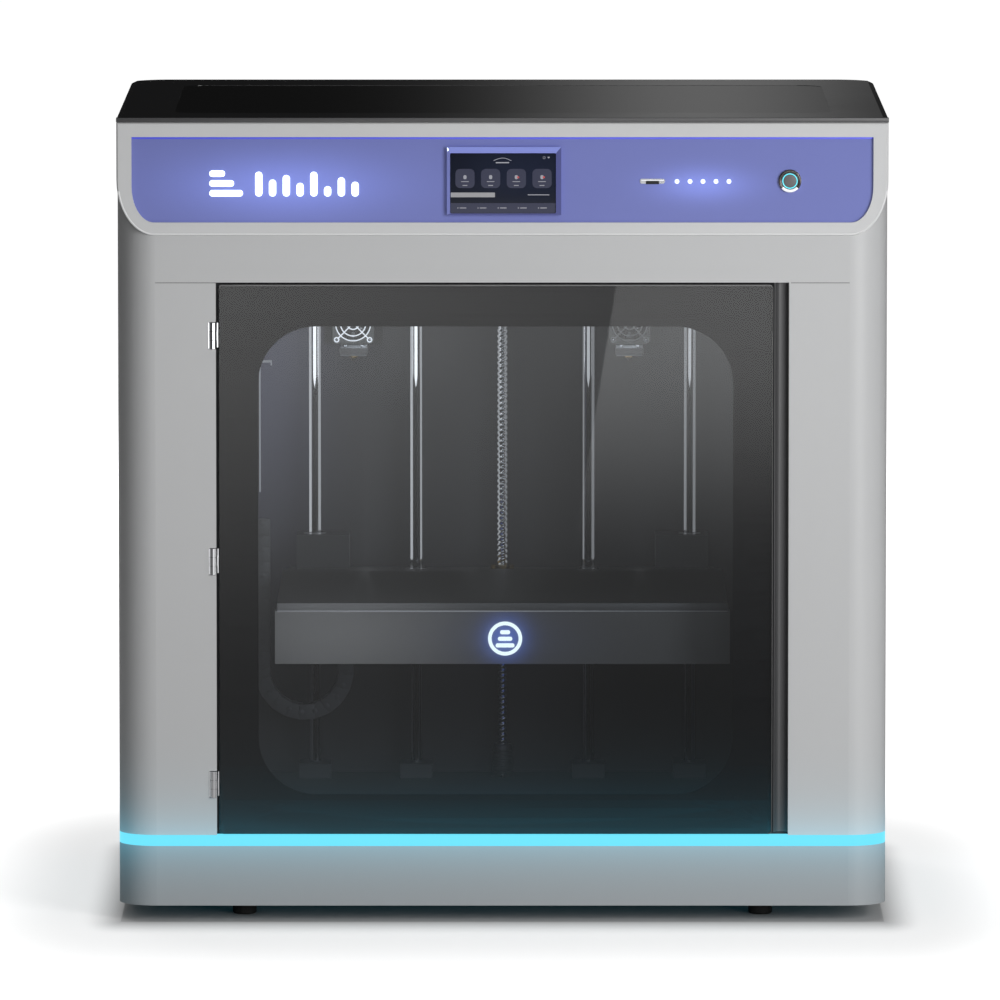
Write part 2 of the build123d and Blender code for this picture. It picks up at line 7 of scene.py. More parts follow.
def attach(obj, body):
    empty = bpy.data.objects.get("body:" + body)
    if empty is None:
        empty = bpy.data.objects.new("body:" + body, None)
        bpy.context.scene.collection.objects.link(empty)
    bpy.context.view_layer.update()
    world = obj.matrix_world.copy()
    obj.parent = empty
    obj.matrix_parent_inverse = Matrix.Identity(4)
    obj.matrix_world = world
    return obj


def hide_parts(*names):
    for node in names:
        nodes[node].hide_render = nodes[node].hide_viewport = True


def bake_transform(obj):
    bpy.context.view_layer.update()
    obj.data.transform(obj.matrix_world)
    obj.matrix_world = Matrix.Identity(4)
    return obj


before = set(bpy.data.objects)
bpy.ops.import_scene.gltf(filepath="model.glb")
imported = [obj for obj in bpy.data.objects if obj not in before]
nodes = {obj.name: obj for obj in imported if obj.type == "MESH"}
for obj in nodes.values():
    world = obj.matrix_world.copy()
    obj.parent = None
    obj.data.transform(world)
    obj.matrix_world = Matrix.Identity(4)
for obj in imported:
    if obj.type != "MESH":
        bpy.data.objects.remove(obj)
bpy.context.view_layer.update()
caseFront = -0.284
forward, backward, upward = (0, -1, 0), (0, 1, 0), (0, 0, 1)
print("frame loaded")


# shape building

shaping = {"bevelAngle": 0.5, "thinnest": 1e-5}


class Shape:
    def __init__(self):
        self.mesh = bmesh.new()

    def settle(self, faces, slot, bevel, segments=2):
        for face in faces:
            face.material_index = slot
        if bevel > 0:
            edges = [e for e in {e for f in faces for e in f.edges}
                     if e.is_manifold and e.calc_face_angle(0) > shaping["bevelAngle"]]
            bmesh.ops.bevel(self.mesh, geom=edges, offset=bevel, segments=segments, affect="EDGES",
                            profile=0.5, clamp_overlap=True, material=slot)

    def box(self, low, high, bevel=0.0, slot=0, matrix=None):
        size = [high[i] - low[i] for i in range(3)]
        middle = Vector([(high[i] + low[i]) / 2 for i in range(3)])
        place = Matrix.Translation(middle) @ Matrix.Diagonal((*size, 1.0))
        made = bmesh.ops.create_cube(self.mesh, size=1.0, matrix=(matrix or Matrix()) @ place)
        faces = list({f for v in made["verts"] for f in v.link_faces})
        self.settle(faces, slot, bevel)

    def plate(self, outline, near, far, bevel=0.0, slot=0):
        front = [self.mesh.verts.new((x, near, z)) for x, z in outline]
        back = [self.mesh.verts.new((x, far, z)) for x, z in outline]
        faces = [self.mesh.faces.new(front), self.mesh.faces.new(back[::-1])]
        for i in range(len(outline)):
            j = (i + 1) % len(outline)
            faces.append(self.mesh.faces.new((front[j], front[i], back[i], back[j])))
        self.settle(faces, slot, bevel)

    # a thin plate with round corners; sides are left, right, bottom and top, and x and z move it
    def tab(self, sides, radius, near, far, slot=0, x=0.0, z=0.0):
        left, right, bottom, top = sides
        self.plate(roundedOutline(x + left, x + right, z + bottom, z + top, radius), near, far, slot=slot)

    # joins rings of points in order; faces are left to the caller to settle
    def skin(self, rings, closed=False):
        faces = []
        following = rings[1:] + rings[:1] if closed else rings[1:]
        for lower, upper in zip(rings, following):
            for i in range(len(lower)):
                j = (i + 1) % len(lower)
                faces.append(self.mesh.faces.new((lower[i], lower[j], upper[j], upper[i])))
        if not closed:
            faces.append(self.mesh.faces.new(rings[0][::-1]))
            faces.append(self.mesh.faces.new(rings[-1]))
        return faces

    def lathe(self, profile, origin, direction, sides=32, slot=0):
        turn = Vector(direction).normalized().to_track_quat("Z", "Y").to_matrix().to_4x4()
        place = Matrix.Translation(Vector(origin)) @ turn
        rings = []
        for radius, height in profile:
            reach = max(radius, shaping["thinnest"])
            angles = [2 * math.pi * i / sides for i in range(sides)]
            points = [Vector((reach * math.cos(a), reach * math.sin(a), height)) for a in angles]
            rings.append([self.mesh.verts.new(place @ point) for point in points])
        self.settle(self.skin(rings), slot, 0)

    def tube(self, points, radius, sides=10, slot=0, closed=False):
        points = [Vector(p) for p in points]
        count = len(points)
        rings = []
        side = None
        for i, point in enumerate(points):
            before = points[(i - 1) % count] if closed or i else point
            after = points[(i + 1) % count] if closed or i < count - 1 else point
            along = (after - before).normalized()
            if side is None:
                side = along.orthogonal().normalized()
            side = (side - along * side.dot(along)).normalized()
            other = along.cross(side)
            angles = [2 * math.pi * k / sides for k in range(sides)]
            rings.append([self.mesh.verts.new(point + (side * math.cos(a) + other * math.sin(a)) * radius)
                          for a in angles])
        self.settle(self.skin(rings, closed), slot, 0)

    def finish(self, name, materials, smooth=40):
        bmesh.ops.recalc_face_normals(self.mesh, faces=self.mesh.faces[:])
        data = bpy.data.meshes.new(name)
        self.mesh.to_mesh(data)
        self.mesh.free()
        for material in materials:
            data.materials.append(material)
        data.polygons.foreach_set("use_smooth", [True] * len(data.polygons))
        data.set_sharp_from_angle(angle=math.radians(smooth))
        piece = bpy.data.objects.new(name, data)
        bpy.context.scene.collection.objects.link(piece)
        return piece


def roundedOutline(x0, x1, z0, z1, radius, steps=6):
    corners = ((x1 - radius, z1 - radius, 0), (x0 + radius, z1 - radius, 90),
               (x0 + radius, z0 + radius, 180), (x1 - radius, z0 + radius, 270))
    points = []
    for cx, cz, start in corners:
        for i in range(steps + 1):
            angle = math.radians(start + 90 * i / steps)
            points.append((cx + radius * math.cos(angle), cz + radius * math.sin(angle)))
    return points


def circlePoints(x, y, z, radius, steps=40):
    angles = [2 * math.pi * i / steps for i in range(steps)]
    return [(x + radius * math.cos(a), y, z + radius * math.sin(a)) for a in angles]


def arcPoints(x, y, z, radius, start, step, count):
    angles = [math.radians(start + step * i) for i in range(count)]
    return [(x + radius * math.cos(a), y, z + radius * math.sin(a)) for a in angles]


# a pan head for a lathe: its radius and side height, then the top's radius and height
def screwProfile(radius, side, topRadius, top):
    return [(radius, 0.0), (radius, side), (topRadius, top), (0.0, top)]


def boxPiece(name, boxes, materials):
    shape = Shape()
    for low, high, bevel, slot in boxes:
        shape.box(low, high, bevel, slot)
    return shape.finish(name, materials)


# materials

grainLook = {"fineDetail": 3, "slowDetail": 4, "bumpDistance": 0.0004, "speckleShare": 0.35, "ior": 1.45,
             "smoothest": 0.02}
spillCyan = (0.10, 0.72, 1.0)


def addNode(tree, kind, **values):
    made = tree.nodes.new(kind)
    for key, value in values.items():
        setattr(made, key, value)
    return made


def feed(tree, value, socket):
    if isinstance(value, (int, float)):
        socket.default_value = value
    elif isinstance(value, tuple):
        socket.default_value = (*value, 1.0)
    else:
        tree.links.new(value, socket)


def mathNode(tree, operation, *values):
    made = addNode(tree, "ShaderNodeMath", operation=operation)
    for value, socket in zip(values, made.inputs):
        feed(tree, value, socket)
    return made.outputs[0]


def rampNode(tree, value, fromRange, toRange=(0.0, 1.0), kind="SMOOTHSTEP"):
    made = addNode(tree, "ShaderNodeMapRange", interpolation_type=kind)
    labels = ("From Min", "From Max", "To Min", "To Max")
    for label, amount in zip(labels, (*fromRange, *toRange)):
        made.inputs[label].default_value = amount
    tree.links.new(value, made.inputs["Value"])
    return made.outputs[0]


def readPlace(tree):
    place = addNode(tree, "ShaderNodeTexCoord")
    split = addNode(tree, "ShaderNodeSeparateXYZ")
    tree.links.new(place.outputs["Object"], split.inputs[0])
    return split.outputs


def mixColors(tree, factor, first, second):
    made = addNode(tree, "ShaderNodeMix", data_type="RGBA")
    feed(tree, factor, made.inputs["Factor"])
    for name, value in (("A", first), ("B", second)):
        feed(tree, value, [s for s in made.inputs if s.name == name and s.type == "RGBA"][0])
    return [s for s in made.outputs if s.type == "RGBA"][0]


def groupNode(tree, group, **inputs):
    made = addNode(tree, "ShaderNodeGroup", node_tree=group)
    for key, value in inputs.items():
        made.inputs[key].default_value = value
    return made.outputs


def makeGroup(name, inputs, outputs):
    group = bpy.data.node_groups.new(name, "ShaderNodeTree")
    for label, value in inputs.items():
        kind = "NodeSocketVector" if value is None else "NodeSocketFloat"
        socket = group.interface.new_socket(label, in_out="INPUT", socket_type=kind)
        if value is not None:
            socket.default_value = value
    for label, kind in outputs.items():
        group.interface.new_socket(label, in_out="OUTPUT", socket_type="NodeSocket" + kind)
    return group, addNode(group, "NodeGroupInput").outputs, addNode(group, "NodeGroupOutput").inputs


# fine surface grain: a slow change of tone, a fine speckle and a bumped normal
def grainGroup():
    group, enter, leave = makeGroup("fineGrain", {"Scale": 900.0, "Bump": 0.1, "Drift": 6.0},
                                    {"Speckle": "Float", "Tone": "Float", "Normal": "Vector"})
    place = addNode(group, "ShaderNodeTexCoord")
    noises = []
    for detail, scale in (("fineDetail", "Scale"), ("slowDetail", "Drift")):
        noise = addNode(group, "ShaderNodeTexNoise")
        noise.inputs["Detail"].default_value = grainLook[detail]
        group.links.new(place.outputs["Object"], noise.inputs["Vector"])
        group.links.new(enter[scale], noise.inputs["Scale"])
        noises.append(noise.outputs["Fac"])
    bump = addNode(group, "ShaderNodeBump")
    bump.inputs["Distance"].default_value = grainLook["bumpDistance"]
    group.links.new(enter["Bump"], bump.inputs["Strength"])
    group.links.new(noises[0], bump.inputs["Height"])
    for source, label in ((noises[0], "Speckle"), (noises[1], "Tone"), (bump.outputs["Normal"], "Normal")):
        group.links.new(source, leave[label])
    return group


# a soft band of spilled light above and below one height
def bandGlowGroup():
    group, enter, leave = makeGroup("bandGlow", {"Height": 0.074, "Above": 0.03, "Below": 0.02},
                                    {"Mask": "Float"})
    offset = mathNode(group, "SUBTRACT", readPlace(group)["Z"], enter["Height"])
    up = mathNode(group, "DIVIDE", mathNode(group, "MAXIMUM", offset, 0.0), enter["Above"])
    down = mathNode(group, "DIVIDE", mathNode(group, "MINIMUM", offset, 0.0), enter["Below"])
    far = mathNode(group, "ADD", up, mathNode(group, "ABSOLUTE", down))
    group.links.new(mathNode(group, "EXPONENT", mathNode(group, "MULTIPLY", far, -1.0)), leave["Mask"])
    return group


# a soft oval of spilled light on a face that looks forward
def spotGlowGroup():
    group, enter, leave = makeGroup("spotGlow", {"Centre": None, "Width": 0.1, "Height": 0.03},
                                    {"Mask": "Float"})
    place = addNode(group, "ShaderNodeTexCoord")
    shift = addNode(group, "ShaderNodeVectorMath", operation="SUBTRACT")
    group.links.new(place.outputs["Object"], shift.inputs[0])
    group.links.new(enter["Centre"], shift.inputs[1])
    split = addNode(group, "ShaderNodeSeparateXYZ")
    group.links.new(shift.outputs[0], split.inputs[0])
    squares = []
    for axis, size in (("X", "Width"), ("Z", "Height")):
        share = mathNode(group, "DIVIDE", split.outputs[axis], enter[size])
        squares.append(mathNode(group, "MULTIPLY", share, share))
    far = mathNode(group, "ADD", *squares)
    group.links.new(mathNode(group, "EXPONENT", mathNode(group, "MULTIPLY", far, -1.0)), leave["Mask"])
    return group


fineGrain = grainGroup()
bandGlow = bandGlowGroup()
spotGlow = spotGlowGroup()


# band holds the height, the reach above and below it, and the strength
def bandLight(tree, band):
    height, above, below, strength = band
    glow = groupNode(tree, bandGlow, Height=height, Above=above, Below=below)
    return mathNode(tree, "MULTIPLY", glow["Mask"], strength)


# each spot holds its centre, half width, half height and strength
def spotLight(tree, spots):
    total = None
    for centre, width, height, strength in spots:
        glow = groupNode(tree, spotGlow, Centre=centre, Width=width, Height=height)
        value = mathNode(tree, "MULTIPLY", glow["Mask"], strength)
        total = value if total is None else mathNode(tree, "ADD", total, value)
    return total


# one painted, plastic or metal finish; the light pool mixes a lighter colour into an oval of it as painted
# light, and band and spots are painted light given as emission: spilled glow and highlights
def surface(name, color, rough, metallic=0.0, specular=0.5, anisotropic=0.0, scale=900.0, bump=0.1,
            drift=6.0, vary=0.06, roughVary=0.06, lightPool=None, band=None, spots=None, spotColor=None,
            emission=None, strength=1.0):
    material = bpy.data.materials.new(name)
    material.use_nodes = True
    tree = material.node_tree
    sockets = tree.nodes["Principled BSDF"].inputs
    for label, value in (("Metallic", metallic), ("IOR", grainLook["ior"]),
                         ("Specular IOR Level", specular), ("Anisotropic", anisotropic)):
        sockets[label].default_value = value
    grain = groupNode(tree, fineGrain, Scale=scale, Bump=bump, Drift=drift)
    darker, dimmer, lighter = (tuple(min(1.0, c * share) for c in color)
                               for share in (1 - vary, 1 - vary / 2, 1 + vary))
    tone = mixColors(tree, grain["Tone"], darker, lighter)
    speckle = mixColors(tree, grain["Speckle"], dimmer, color)
    paint = mixColors(tree, grainLook["speckleShare"], tone, speckle)
    # painted light: a lighter oval mixed into the colour
    if lightPool:
        centre, width, height, tint = lightPool
        patch = groupNode(tree, spotGlow, Centre=centre, Width=width, Height=height)
        paint = mixColors(tree, patch["Mask"], paint, tint)
    roughRange = (max(grainLook["smoothest"], rough - roughVary), min(1.0, rough + roughVary))
    roughness = rampNode(tree, grain["Tone"], (0.0, 1.0), roughRange, "LINEAR")
    for label, source in (("Base Color", paint), ("Roughness", roughness), ("Normal", grain["Normal"])):
        tree.links.new(source, sockets[label])
    # painted light: a band or spots of emission for spilled glow and highlights
    if band:
        emission, strength = spillCyan, bandLight(tree, band)
    if spots:
        emission, strength = spotColor, spotLight(tree, spots)
    if emission:
        feed(tree, emission, sockets["Emission Color"])
        feed(tree, strength, sockets["Emission Strength"])
    return material


def emptyMaterial(name):
    material = bpy.data.materials.new(name)
    material.use_nodes = True
    material.node_tree.nodes.clear()
    return material, material.node_tree


def emit(tree, strength, color=(1, 1, 1)):
    light = addNode(tree, "ShaderNodeEmission")
    feed(tree, color, light.inputs["Color"])
    feed(tree, strength, light.inputs["Strength"])
    return light.outputs[0]


def addShaders(tree, first, second):
    added = addNode(tree, "ShaderNodeAddShader")
    tree.links.new(first, added.inputs[0])
    tree.links.new(second, added.inputs[1])
    return added.outputs[0]


def showShader(tree, shader):
    out = addNode(tree, "ShaderNodeOutputMaterial")
    tree.links.new(shader, out.inputs["Surface"])


# a thin tinted sheet with a mirror-like skin; band adds a painted band of spilled cyan light as emission
def clearSheet(name, tint, rough=0.02, ior=1.5, band=None):
    material, tree = emptyMaterial(name)
    through = addNode(tree, "ShaderNodeBsdfTransparent")
    feed(tree, tint, through.inputs["Color"])
    shine = addNode(tree, "ShaderNodeBsdfGlossy")
    shine.inputs["Roughness"].default_value = rough
    edge = addNode(tree, "ShaderNodeFresnel")
    edge.inputs["IOR"].default_value = ior
    mixed = addNode(tree, "ShaderNodeMixShader")
    for source, socket in zip((edge, through, shine), mixed.inputs):
        tree.links.new(source.outputs[0], socket)
    shader = mixed.outputs[0]
    if band:
        shader = addShaders(tree, shader, emit(tree, bandLight(tree, band), spillCyan))
    showShader(tree, shader)
    return material


# painted light: the case and base paints carry a soft cyan band of emission for the light spilled from the
# strip near the foot
casePaint = surface(
    "casePaint", color=(0.50, 0.505, 0.51), rough=0.42, scale=1400.0, bump=0.10, vary=0.03, drift=2.5,
    band=(0.0745, 0.021, 0.02, 0.30))
basePaint = surface(
    "basePaint", color=(0.34, 0.35, 0.36), rough=0.42, scale=1400.0, bump=0.10, vary=0.03, drift=2.5,
    band=(0.0745, 0.021, 0.022, 0.30))
fasciaPaint = surface(
    "fasciaPaint", color=(0.58, 0.585, 0.59), rough=0.34, scale=1600.0, bump=0.05, vary=0.02, drift=2.0)
# painted light: two soft spots of blue emission stand for glow spilled round the panel lights
panelBlue = surface(
    "panelBlue", color=(0.150, 0.176, 0.475), rough=0.40, scale=1100.0, bump=0.05, vary=0.05, drift=9.0,
    spotColor=(0.24, 0.33, 1.0),
    spots=[((-0.194, 0.0, 0.664), 0.085, 0.026, 0.36), ((0.179, 0.0, 0.665), 0.040, 0.014, 0.34)])
# painted light: a faint blue glow given as emission
recessBlueGlow = surface(
    "recessBlueGlow", color=(0.12, 0.13, 0.50), rough=0.3, vary=0.03, emission=(0.12, 0.13, 0.75),
    strength=0.10)
blackGloss = surface(
    "blackGloss", color=(0.010, 0.010, 0.011), rough=0.16, bump=0.01, vary=0.2, scale=500.0)
maskBlack = surface(
    "maskBlack", color=(0.012, 0.012, 0.013), rough=0.6, bump=0.02, vary=0.1, specular=0.15)
blackSheet = surface("blackSheet", color=(0.026, 0.027, 0.031), rough=0.55, bump=0.06, scale=1200.0)
blackPlastic = surface("blackPlastic", color=(0.022, 0.022, 0.024), rough=0.5, bump=0.2, scale=1500.0)
greyPlastic = surface("greyPlastic", color=(0.12, 0.12, 0.125), rough=0.45, bump=0.15, scale=1500.0)
# painted light: a faint cyan band of emission for the light spilled from the strip near the foot
channelGrey = surface(
    "channelGrey", color=(0.055, 0.055, 0.057), rough=0.4, bump=0.02, scale=1500.0,
    band=(0.0745, 0.021, 0.02, 0.06))
darkAlloy = surface("darkAlloy", color=(0.075, 0.078, 0.085), metallic=0.6, rough=0.45, bump=0.08)
lipGrey = surface("lipGrey", color=(0.072, 0.072, 0.074), rough=0.4, bump=0.04, vary=0.03)
# painted highlight: a bright blue with emission for the lit top edge of the panel
highlightBlue = surface(
    "highlightBlue", color=(0.09, 0.10, 0.62), rough=0.3, vary=0.03, emission=(0.08, 0.09, 0.75), strength=0.35)
rubberBlack = surface("rubberBlack", color=(0.012, 0.012, 0.012), rough=0.75, bump=0.3, scale=800.0)
chrome = surface("chrome", color=(0.80, 0.81, 0.83), metallic=1.0, rough=0.09, bump=0.01, roughVary=0.04)
groundSteel = surface(
    "groundSteel", color=(0.52, 0.53, 0.55), metallic=1.0, rough=0.28, bump=0.05, anisotropic=0.4,
    roughVary=0.08)
aluminium = surface("aluminium", color=(0.60, 0.61, 0.63), metallic=1.0, rough=0.36, bump=0.08)
brass = surface("brass", color=(0.42, 0.30, 0.13), metallic=1.0, rough=0.25, bump=0.03)
# painted light: a white that glows as emission, for the left fan guard, hot end wires and rating plate print
wireWhiteGlow = surface(
    "wireWhiteGlow", color=(0.80, 0.81, 0.82), rough=0.3, bump=0.02, emission=(0.85, 0.88, 0.92), strength=1.4)
# painted light: a pale oval on the left of the tray front, and emission for a halo round the emblem with a
# fainter wider glow
trayPaint = surface(
    "trayPaint", color=(0.116, 0.113, 0.112), rough=0.5, bump=0.25, scale=1000.0, vary=0.12,
    lightPool=((-0.165, 0.0, 0.250), 0.115, 0.06, (0.66, 0.62, 0.59)), spotColor=(0.10, 0.24, 0.98),
    spots=[((0.0024, 0.0, 0.247), 0.0175, 0.0175, 0.60), ((0.0024, 0.0, 0.247), 0.06, 0.028, 0.03)])
# painted light: a lighter oval on the left of the build plate
plateGrey = surface(
    "plateGrey", color=(0.014, 0.0143, 0.015), rough=0.45, bump=0.06, vary=0.1,
    lightPool=((-0.19, 0.0, 0.277), 0.12, 0.05, (0.06, 0.06, 0.062)))
cyanGlow = surface(
    "cyanGlow", color=(0.01, 0.02, 0.02), specular=0.1, rough=0.3, emission=(0.165, 0.80, 1.0),
    strength=1.0)
markGlow = surface("markGlow", color=(0.8, 0.9, 1.0), rough=0.4, emission=(0.86, 0.97, 1.0), strength=1.6)
chamberGlow = surface(
    "chamberGlow", color=(0.8, 0.85, 1.0), rough=0.5, emission=(0.75, 0.82, 1.0), strength=2.0)
# painted light: the door glass carries a faint cyan band of emission for spilled light near its foot
doorClear = clearSheet("doorClear", tint=(0.74, 0.76, 0.78), band=(0.0745, 0.022, 0.02, 0.062))
lidClear = clearSheet("lidClear", tint=(0.28, 0.29, 0.31), rough=0.08, ior=1.4)
screenBlack = surface(
    "screenBlack", color=(0.006, 0.008, 0.016), rough=0.12, bump=0.0, vary=0.2,
    spotColor=(0.05, 0.07, 0.16), spots=[((0.02, 0.0, 0.675), 0.06, 0.03, 0.12)])
print("materials made")

chamber = {"wallFrom": 0.2615, "wallColor": (0.22, 0.22, 0.23)}


# a dark back wall and paler side walls, with a soft spot of painted blue light, given as emission, near the
# left side
def chamberMaterial():
    material = surface("chamberPaint", color=(0.023, 0.024, 0.029), rough=0.5, bump=0.0,
                       spotColor=(0.20, 0.21, 0.42), spots=[((-0.225, 0.1465, 0.46), 0.055, 0.13, 0.16)])
    tree = material.node_tree
    color = tree.nodes["Principled BSDF"].inputs["Base Color"]
    out = mathNode(tree, "ABSOLUTE", readPlace(tree)["X"])
    side = mathNode(tree, "GREATER_THAN", out, chamber["wallFrom"])
    tree.links.new(mixColors(tree, side, color.links[0].from_socket, chamber["wallColor"]), color)
    return material


chamberPaint = chamberMaterial()


# finishes on the frame parts

finishes = (
    (casePaint, "side_panels header_panel rear_panel"), (basePaint, "base_pan"), (cyanGlow, "led_light_guide"),
    (fasciaPaint, "fascia_bezel"), (rubberBlack, "feet y_belts"), (blackSheet, "chamber_floor inner_frame"),
    (panelBlue, "control_panel"), (recessBlueGlow, "screen_frame"), (screenBlack, "touchscreen"),
    (markGlow, "panel_lights bed_emblem"), (greyPlastic, "power_button y_carriages"),
    (groundSteel, "card_slot lid_hinge_fixed lid_hinge_leaves z_screw linear_bearings power_supply"),
    (groundSteel, "panel_screws"), (maskBlack, "door_mask"), (doorClear, "door_glass"),
    (chrome, "power_button_housing door_hinge_leaves door_hinge_body guide_rods"),
    (channelGrey, "finger_channel"), (chamberPaint, "chamber_walls"), (chamberGlow, "chamber_lights"),
    (blackGloss, "lid_frame rocker_switch"), (lidClear, "lid_window"), (trayPaint, "bed_tray"),
    (darkAlloy, "rod_clamps heater_plate bed_bridge"), (plateGrey, "build_plate"), (brass, "z_nut"),
    (aluminium, "x_beam left_hotend right_hotend"),
    (blackPlastic, "z_motor cable_chain x_drives left_carriage right_carriage left_fan right_fan"),
    (blackPlastic, "left_fan_rotor right_fan_rotor rear_fan rear_fan_rotor spool_spindles power_inlet"))
edgeRadius = {"side_panels": 0.0008, "header_panel": 0.0005, "fascia_bezel": 0.0006, "screen_frame": 0.0006,
              "bed_tray": 0.0007, "finger_channel": 0.0006, "base_pan": 0.0008, "lid_frame": 0.0008}
softEdge = {"segments": 2, "sharpFrom": 35}

for material, names in finishes:
    for name in names.split():
        part = nodes[name]
        part.data.materials.clear()
        part.data.materials.append(material)
for name, radius in edgeRadius.items():
    bevel = nodes[name].modifiers.new("softEdges", "BEVEL")
    bevel.width = radius
    bevel.segments = softEdge["segments"]
    bevel.limit_method = "ANGLE"
    bevel.angle_limit = math.radians(softEdge["sharpFrom"])
    bevel.harden_normals = False
print("frame parts finished")


# studio

studio = {"world": 0.05, "floorHalf": 60, "wallRadius": 55, "wallTop": 50, "wallFoot": -2, "wallSides": 12,
          "floorGrey": (0.55, 0.55, 0.55), "floorRough": 0.9, "floorShine": 0.1}
lights = {
    "keyLight": {"place": (1.85, -2.7, 1.1), "target": (0.1, -0.2, 0.40), "size": (1.3, 1.8), "power": 68.0,
                 "mirrored": True},
    "frontLight": {"place": (0.4, -6.0, 1.9), "target": (0.0, -0.2, 0.35), "size": (1.6, 1.6), "power": 40.0,
                   "mirrored": True},
    "topLight": {"place": (0.0, -0.3, 3.4), "target": (0.0, 0.0, 0.0), "size": (3.0, 3.0), "power": 26.0,
                 "mirrored": False},
    "backLight": {"place": (-1.1, 3.7, 1.7), "target": (0.0, 0.1, 0.40), "size": (2.4, 2.0), "power": 75.0,
                  "mirrored": False}}

world = bpy.data.worlds.new("studioWorld")
world.use_nodes = True
background = world.node_tree.nodes["Background"]
background.inputs["Color"].default_value = (1, 1, 1, 1)
background.inputs["Strength"].default_value = studio["world"]
bpy.context.scene.world = world
bpy.context.scene.view_settings.view_transform = "Standard"

for name, light in lights.items():
    data = bpy.data.lights.new(name, "AREA")
    data.shape = "RECTANGLE"
    data.size, data.size_y = light["size"]
    data.energy = light["power"]
    lamp = bpy.data.objects.new(name, data)
    lamp.location = light["place"]
    aim = Vector(light["target"]) - Vector(light["place"])
    lamp.rotation_euler = aim.to_track_quat("-Z", "Y").to_euler()
    lamp.visible_glossy = light["mirrored"]
    bpy.context.scene.collection.objects.link(lamp)


def stagePlane(name, corners, material, rays):
    data = bpy.data.meshes.new(name)
    data.from_pydata(corners, [], [tuple(range(len(corners)))])
    data.materials.append(material)
    plane = bpy.data.objects.new(name, data)
    bpy.context.scene.collection.objects.link(plane)
    for ray in ("camera", "diffuse", "glossy", "transmission", "shadow", "volume_scatter"):
        setattr(plane, "visible_" + ray, ray in rays)
    return plane


# an upright sheet that faces the front, and a level one
def wallCorners(left, right, y, low, high):
    return [(left, y, low), (right, y, low), (right, y, high), (left, y, high)]


def levelCorners(half, z):
    return [(-half, -half, z), (half, -half, z), (half, half, z), (-half, half, z)]


def glowMaterial(name, strength):
    material, tree = emptyMaterial(name)
    showShader(tree, emit(tree, strength))
    return material


def floorMaterial():
    material = bpy.data.materials.new("studioFloor")
    material.use_nodes = True
    sockets = material.node_tree.nodes["Principled BSDF"].inputs
    sockets["Base Color"].default_value = (*studio["floorGrey"], 1)
    sockets["Roughness"].default_value = studio["floorRough"]
    sockets["Specular IOR Level"].default_value = studio["floorShine"]
    return material


veil = {"height": 0.0004, "halfWidth": 0.343, "halfDepth": 0.245, "middle": 0.039, "sideways": 2.4,
        "edge": 0.0005, "steps": ((-0.03, 0.09, 0.58), (0.10, 0.50, 0.42))}


# painted light laid over the floor, seen only by the camera, which fades to white away from the machine: it is
# zero under the machine and rises with distance from it, so it also paints a soft shadow round the machine
# over the floor's own shading
def veilMaterial():
    material, tree = emptyMaterial("studioVeil")
    place = readPlace(tree)
    beside = mathNode(tree, "SUBTRACT", mathNode(tree, "ABSOLUTE", place["X"]), veil["halfWidth"])
    across = mathNode(tree, "MULTIPLY", mathNode(tree, "MAXIMUM", beside, 0.0), veil["sideways"])
    deep = mathNode(tree, "ABSOLUTE", mathNode(tree, "ADD", place["Y"], veil["middle"]))
    along = mathNode(tree, "MAXIMUM", mathNode(tree, "SUBTRACT", deep, veil["halfDepth"]), 0.0)
    squares = [mathNode(tree, "MULTIPLY", value, value) for value in (across, along)]
    far = mathNode(tree, "SQRT", mathNode(tree, "ADD", *squares))
    parts = [rampNode(tree, far, (low, high), (0.0, share)) for low, high, share in veil["steps"]]
    outside = mathNode(tree, "GREATER_THAN", far, veil["edge"])
    strength = mathNode(tree, "MULTIPLY", mathNode(tree, "ADD", *parts), outside)
    through = addNode(tree, "ShaderNodeBsdfTransparent")
    showShader(tree, addShaders(tree, emit(tree, strength), through.outputs[0]))
    return material


doorCard = {"half": 0.40, "y": -0.80, "high": 0.60, "rise": (0.12, 0.60), "strength": (0.45, 2.2),
            "slope": 0.160, "slantFoot": 0.0219, "blur": 0.0006, "fade": (0.27, 0.50), "extra": 1.40,
            "across": (-0.26, 0.12), "levels": (1.12, 0.62)}


# what the door mirrors: dark low down, brighter high up, with a slanted brighter area to the right
def doorCardMaterial():
    material, tree = emptyMaterial("doorCard")
    place = readPlace(tree)
    rise = rampNode(tree, place["Z"], doorCard["rise"], doorCard["strength"])
    edge = mathNode(tree, "MULTIPLY_ADD", place["Z"], doorCard["slope"], doorCard["slantFoot"])
    slant = mathNode(tree, "SUBTRACT", place["X"], edge)
    side = rampNode(tree, slant, (-doorCard["blur"], doorCard["blur"]), kind="LINEAR")
    fade = rampNode(tree, place["Z"], doorCard["fade"], (0.0, doorCard["extra"]))
    level = rampNode(tree, place["X"], doorCard["across"], doorCard["levels"], "LINEAR")
    base = mathNode(tree, "MULTIPLY", rise, level)
    extra = mathNode(tree, "MULTIPLY", side, fade)
    showShader(tree, emit(tree, mathNode(tree, "ADD", base, extra)))
    return material


lidCard = {"half": 1.6, "y": 3.0, "low": 0.73, "high": 2.4, "patch": (0.235, 0.0, 0.9), "width": 0.20,
           "height": 6.0, "bright": 0.21, "dark": 0.010}


# what the lid mirrors: dark to the left, with a soft bright patch right of the middle
def lidCardMaterial():
    material, tree = emptyMaterial("lidCard")
    glow = groupNode(tree, spotGlow, Centre=lidCard["patch"], Width=lidCard["width"],
                     Height=lidCard["height"])
    strength = mathNode(tree, "MULTIPLY_ADD", glow["Mask"], lidCard["bright"], lidCard["dark"])
    showShader(tree, emit(tree, strength))
    return material


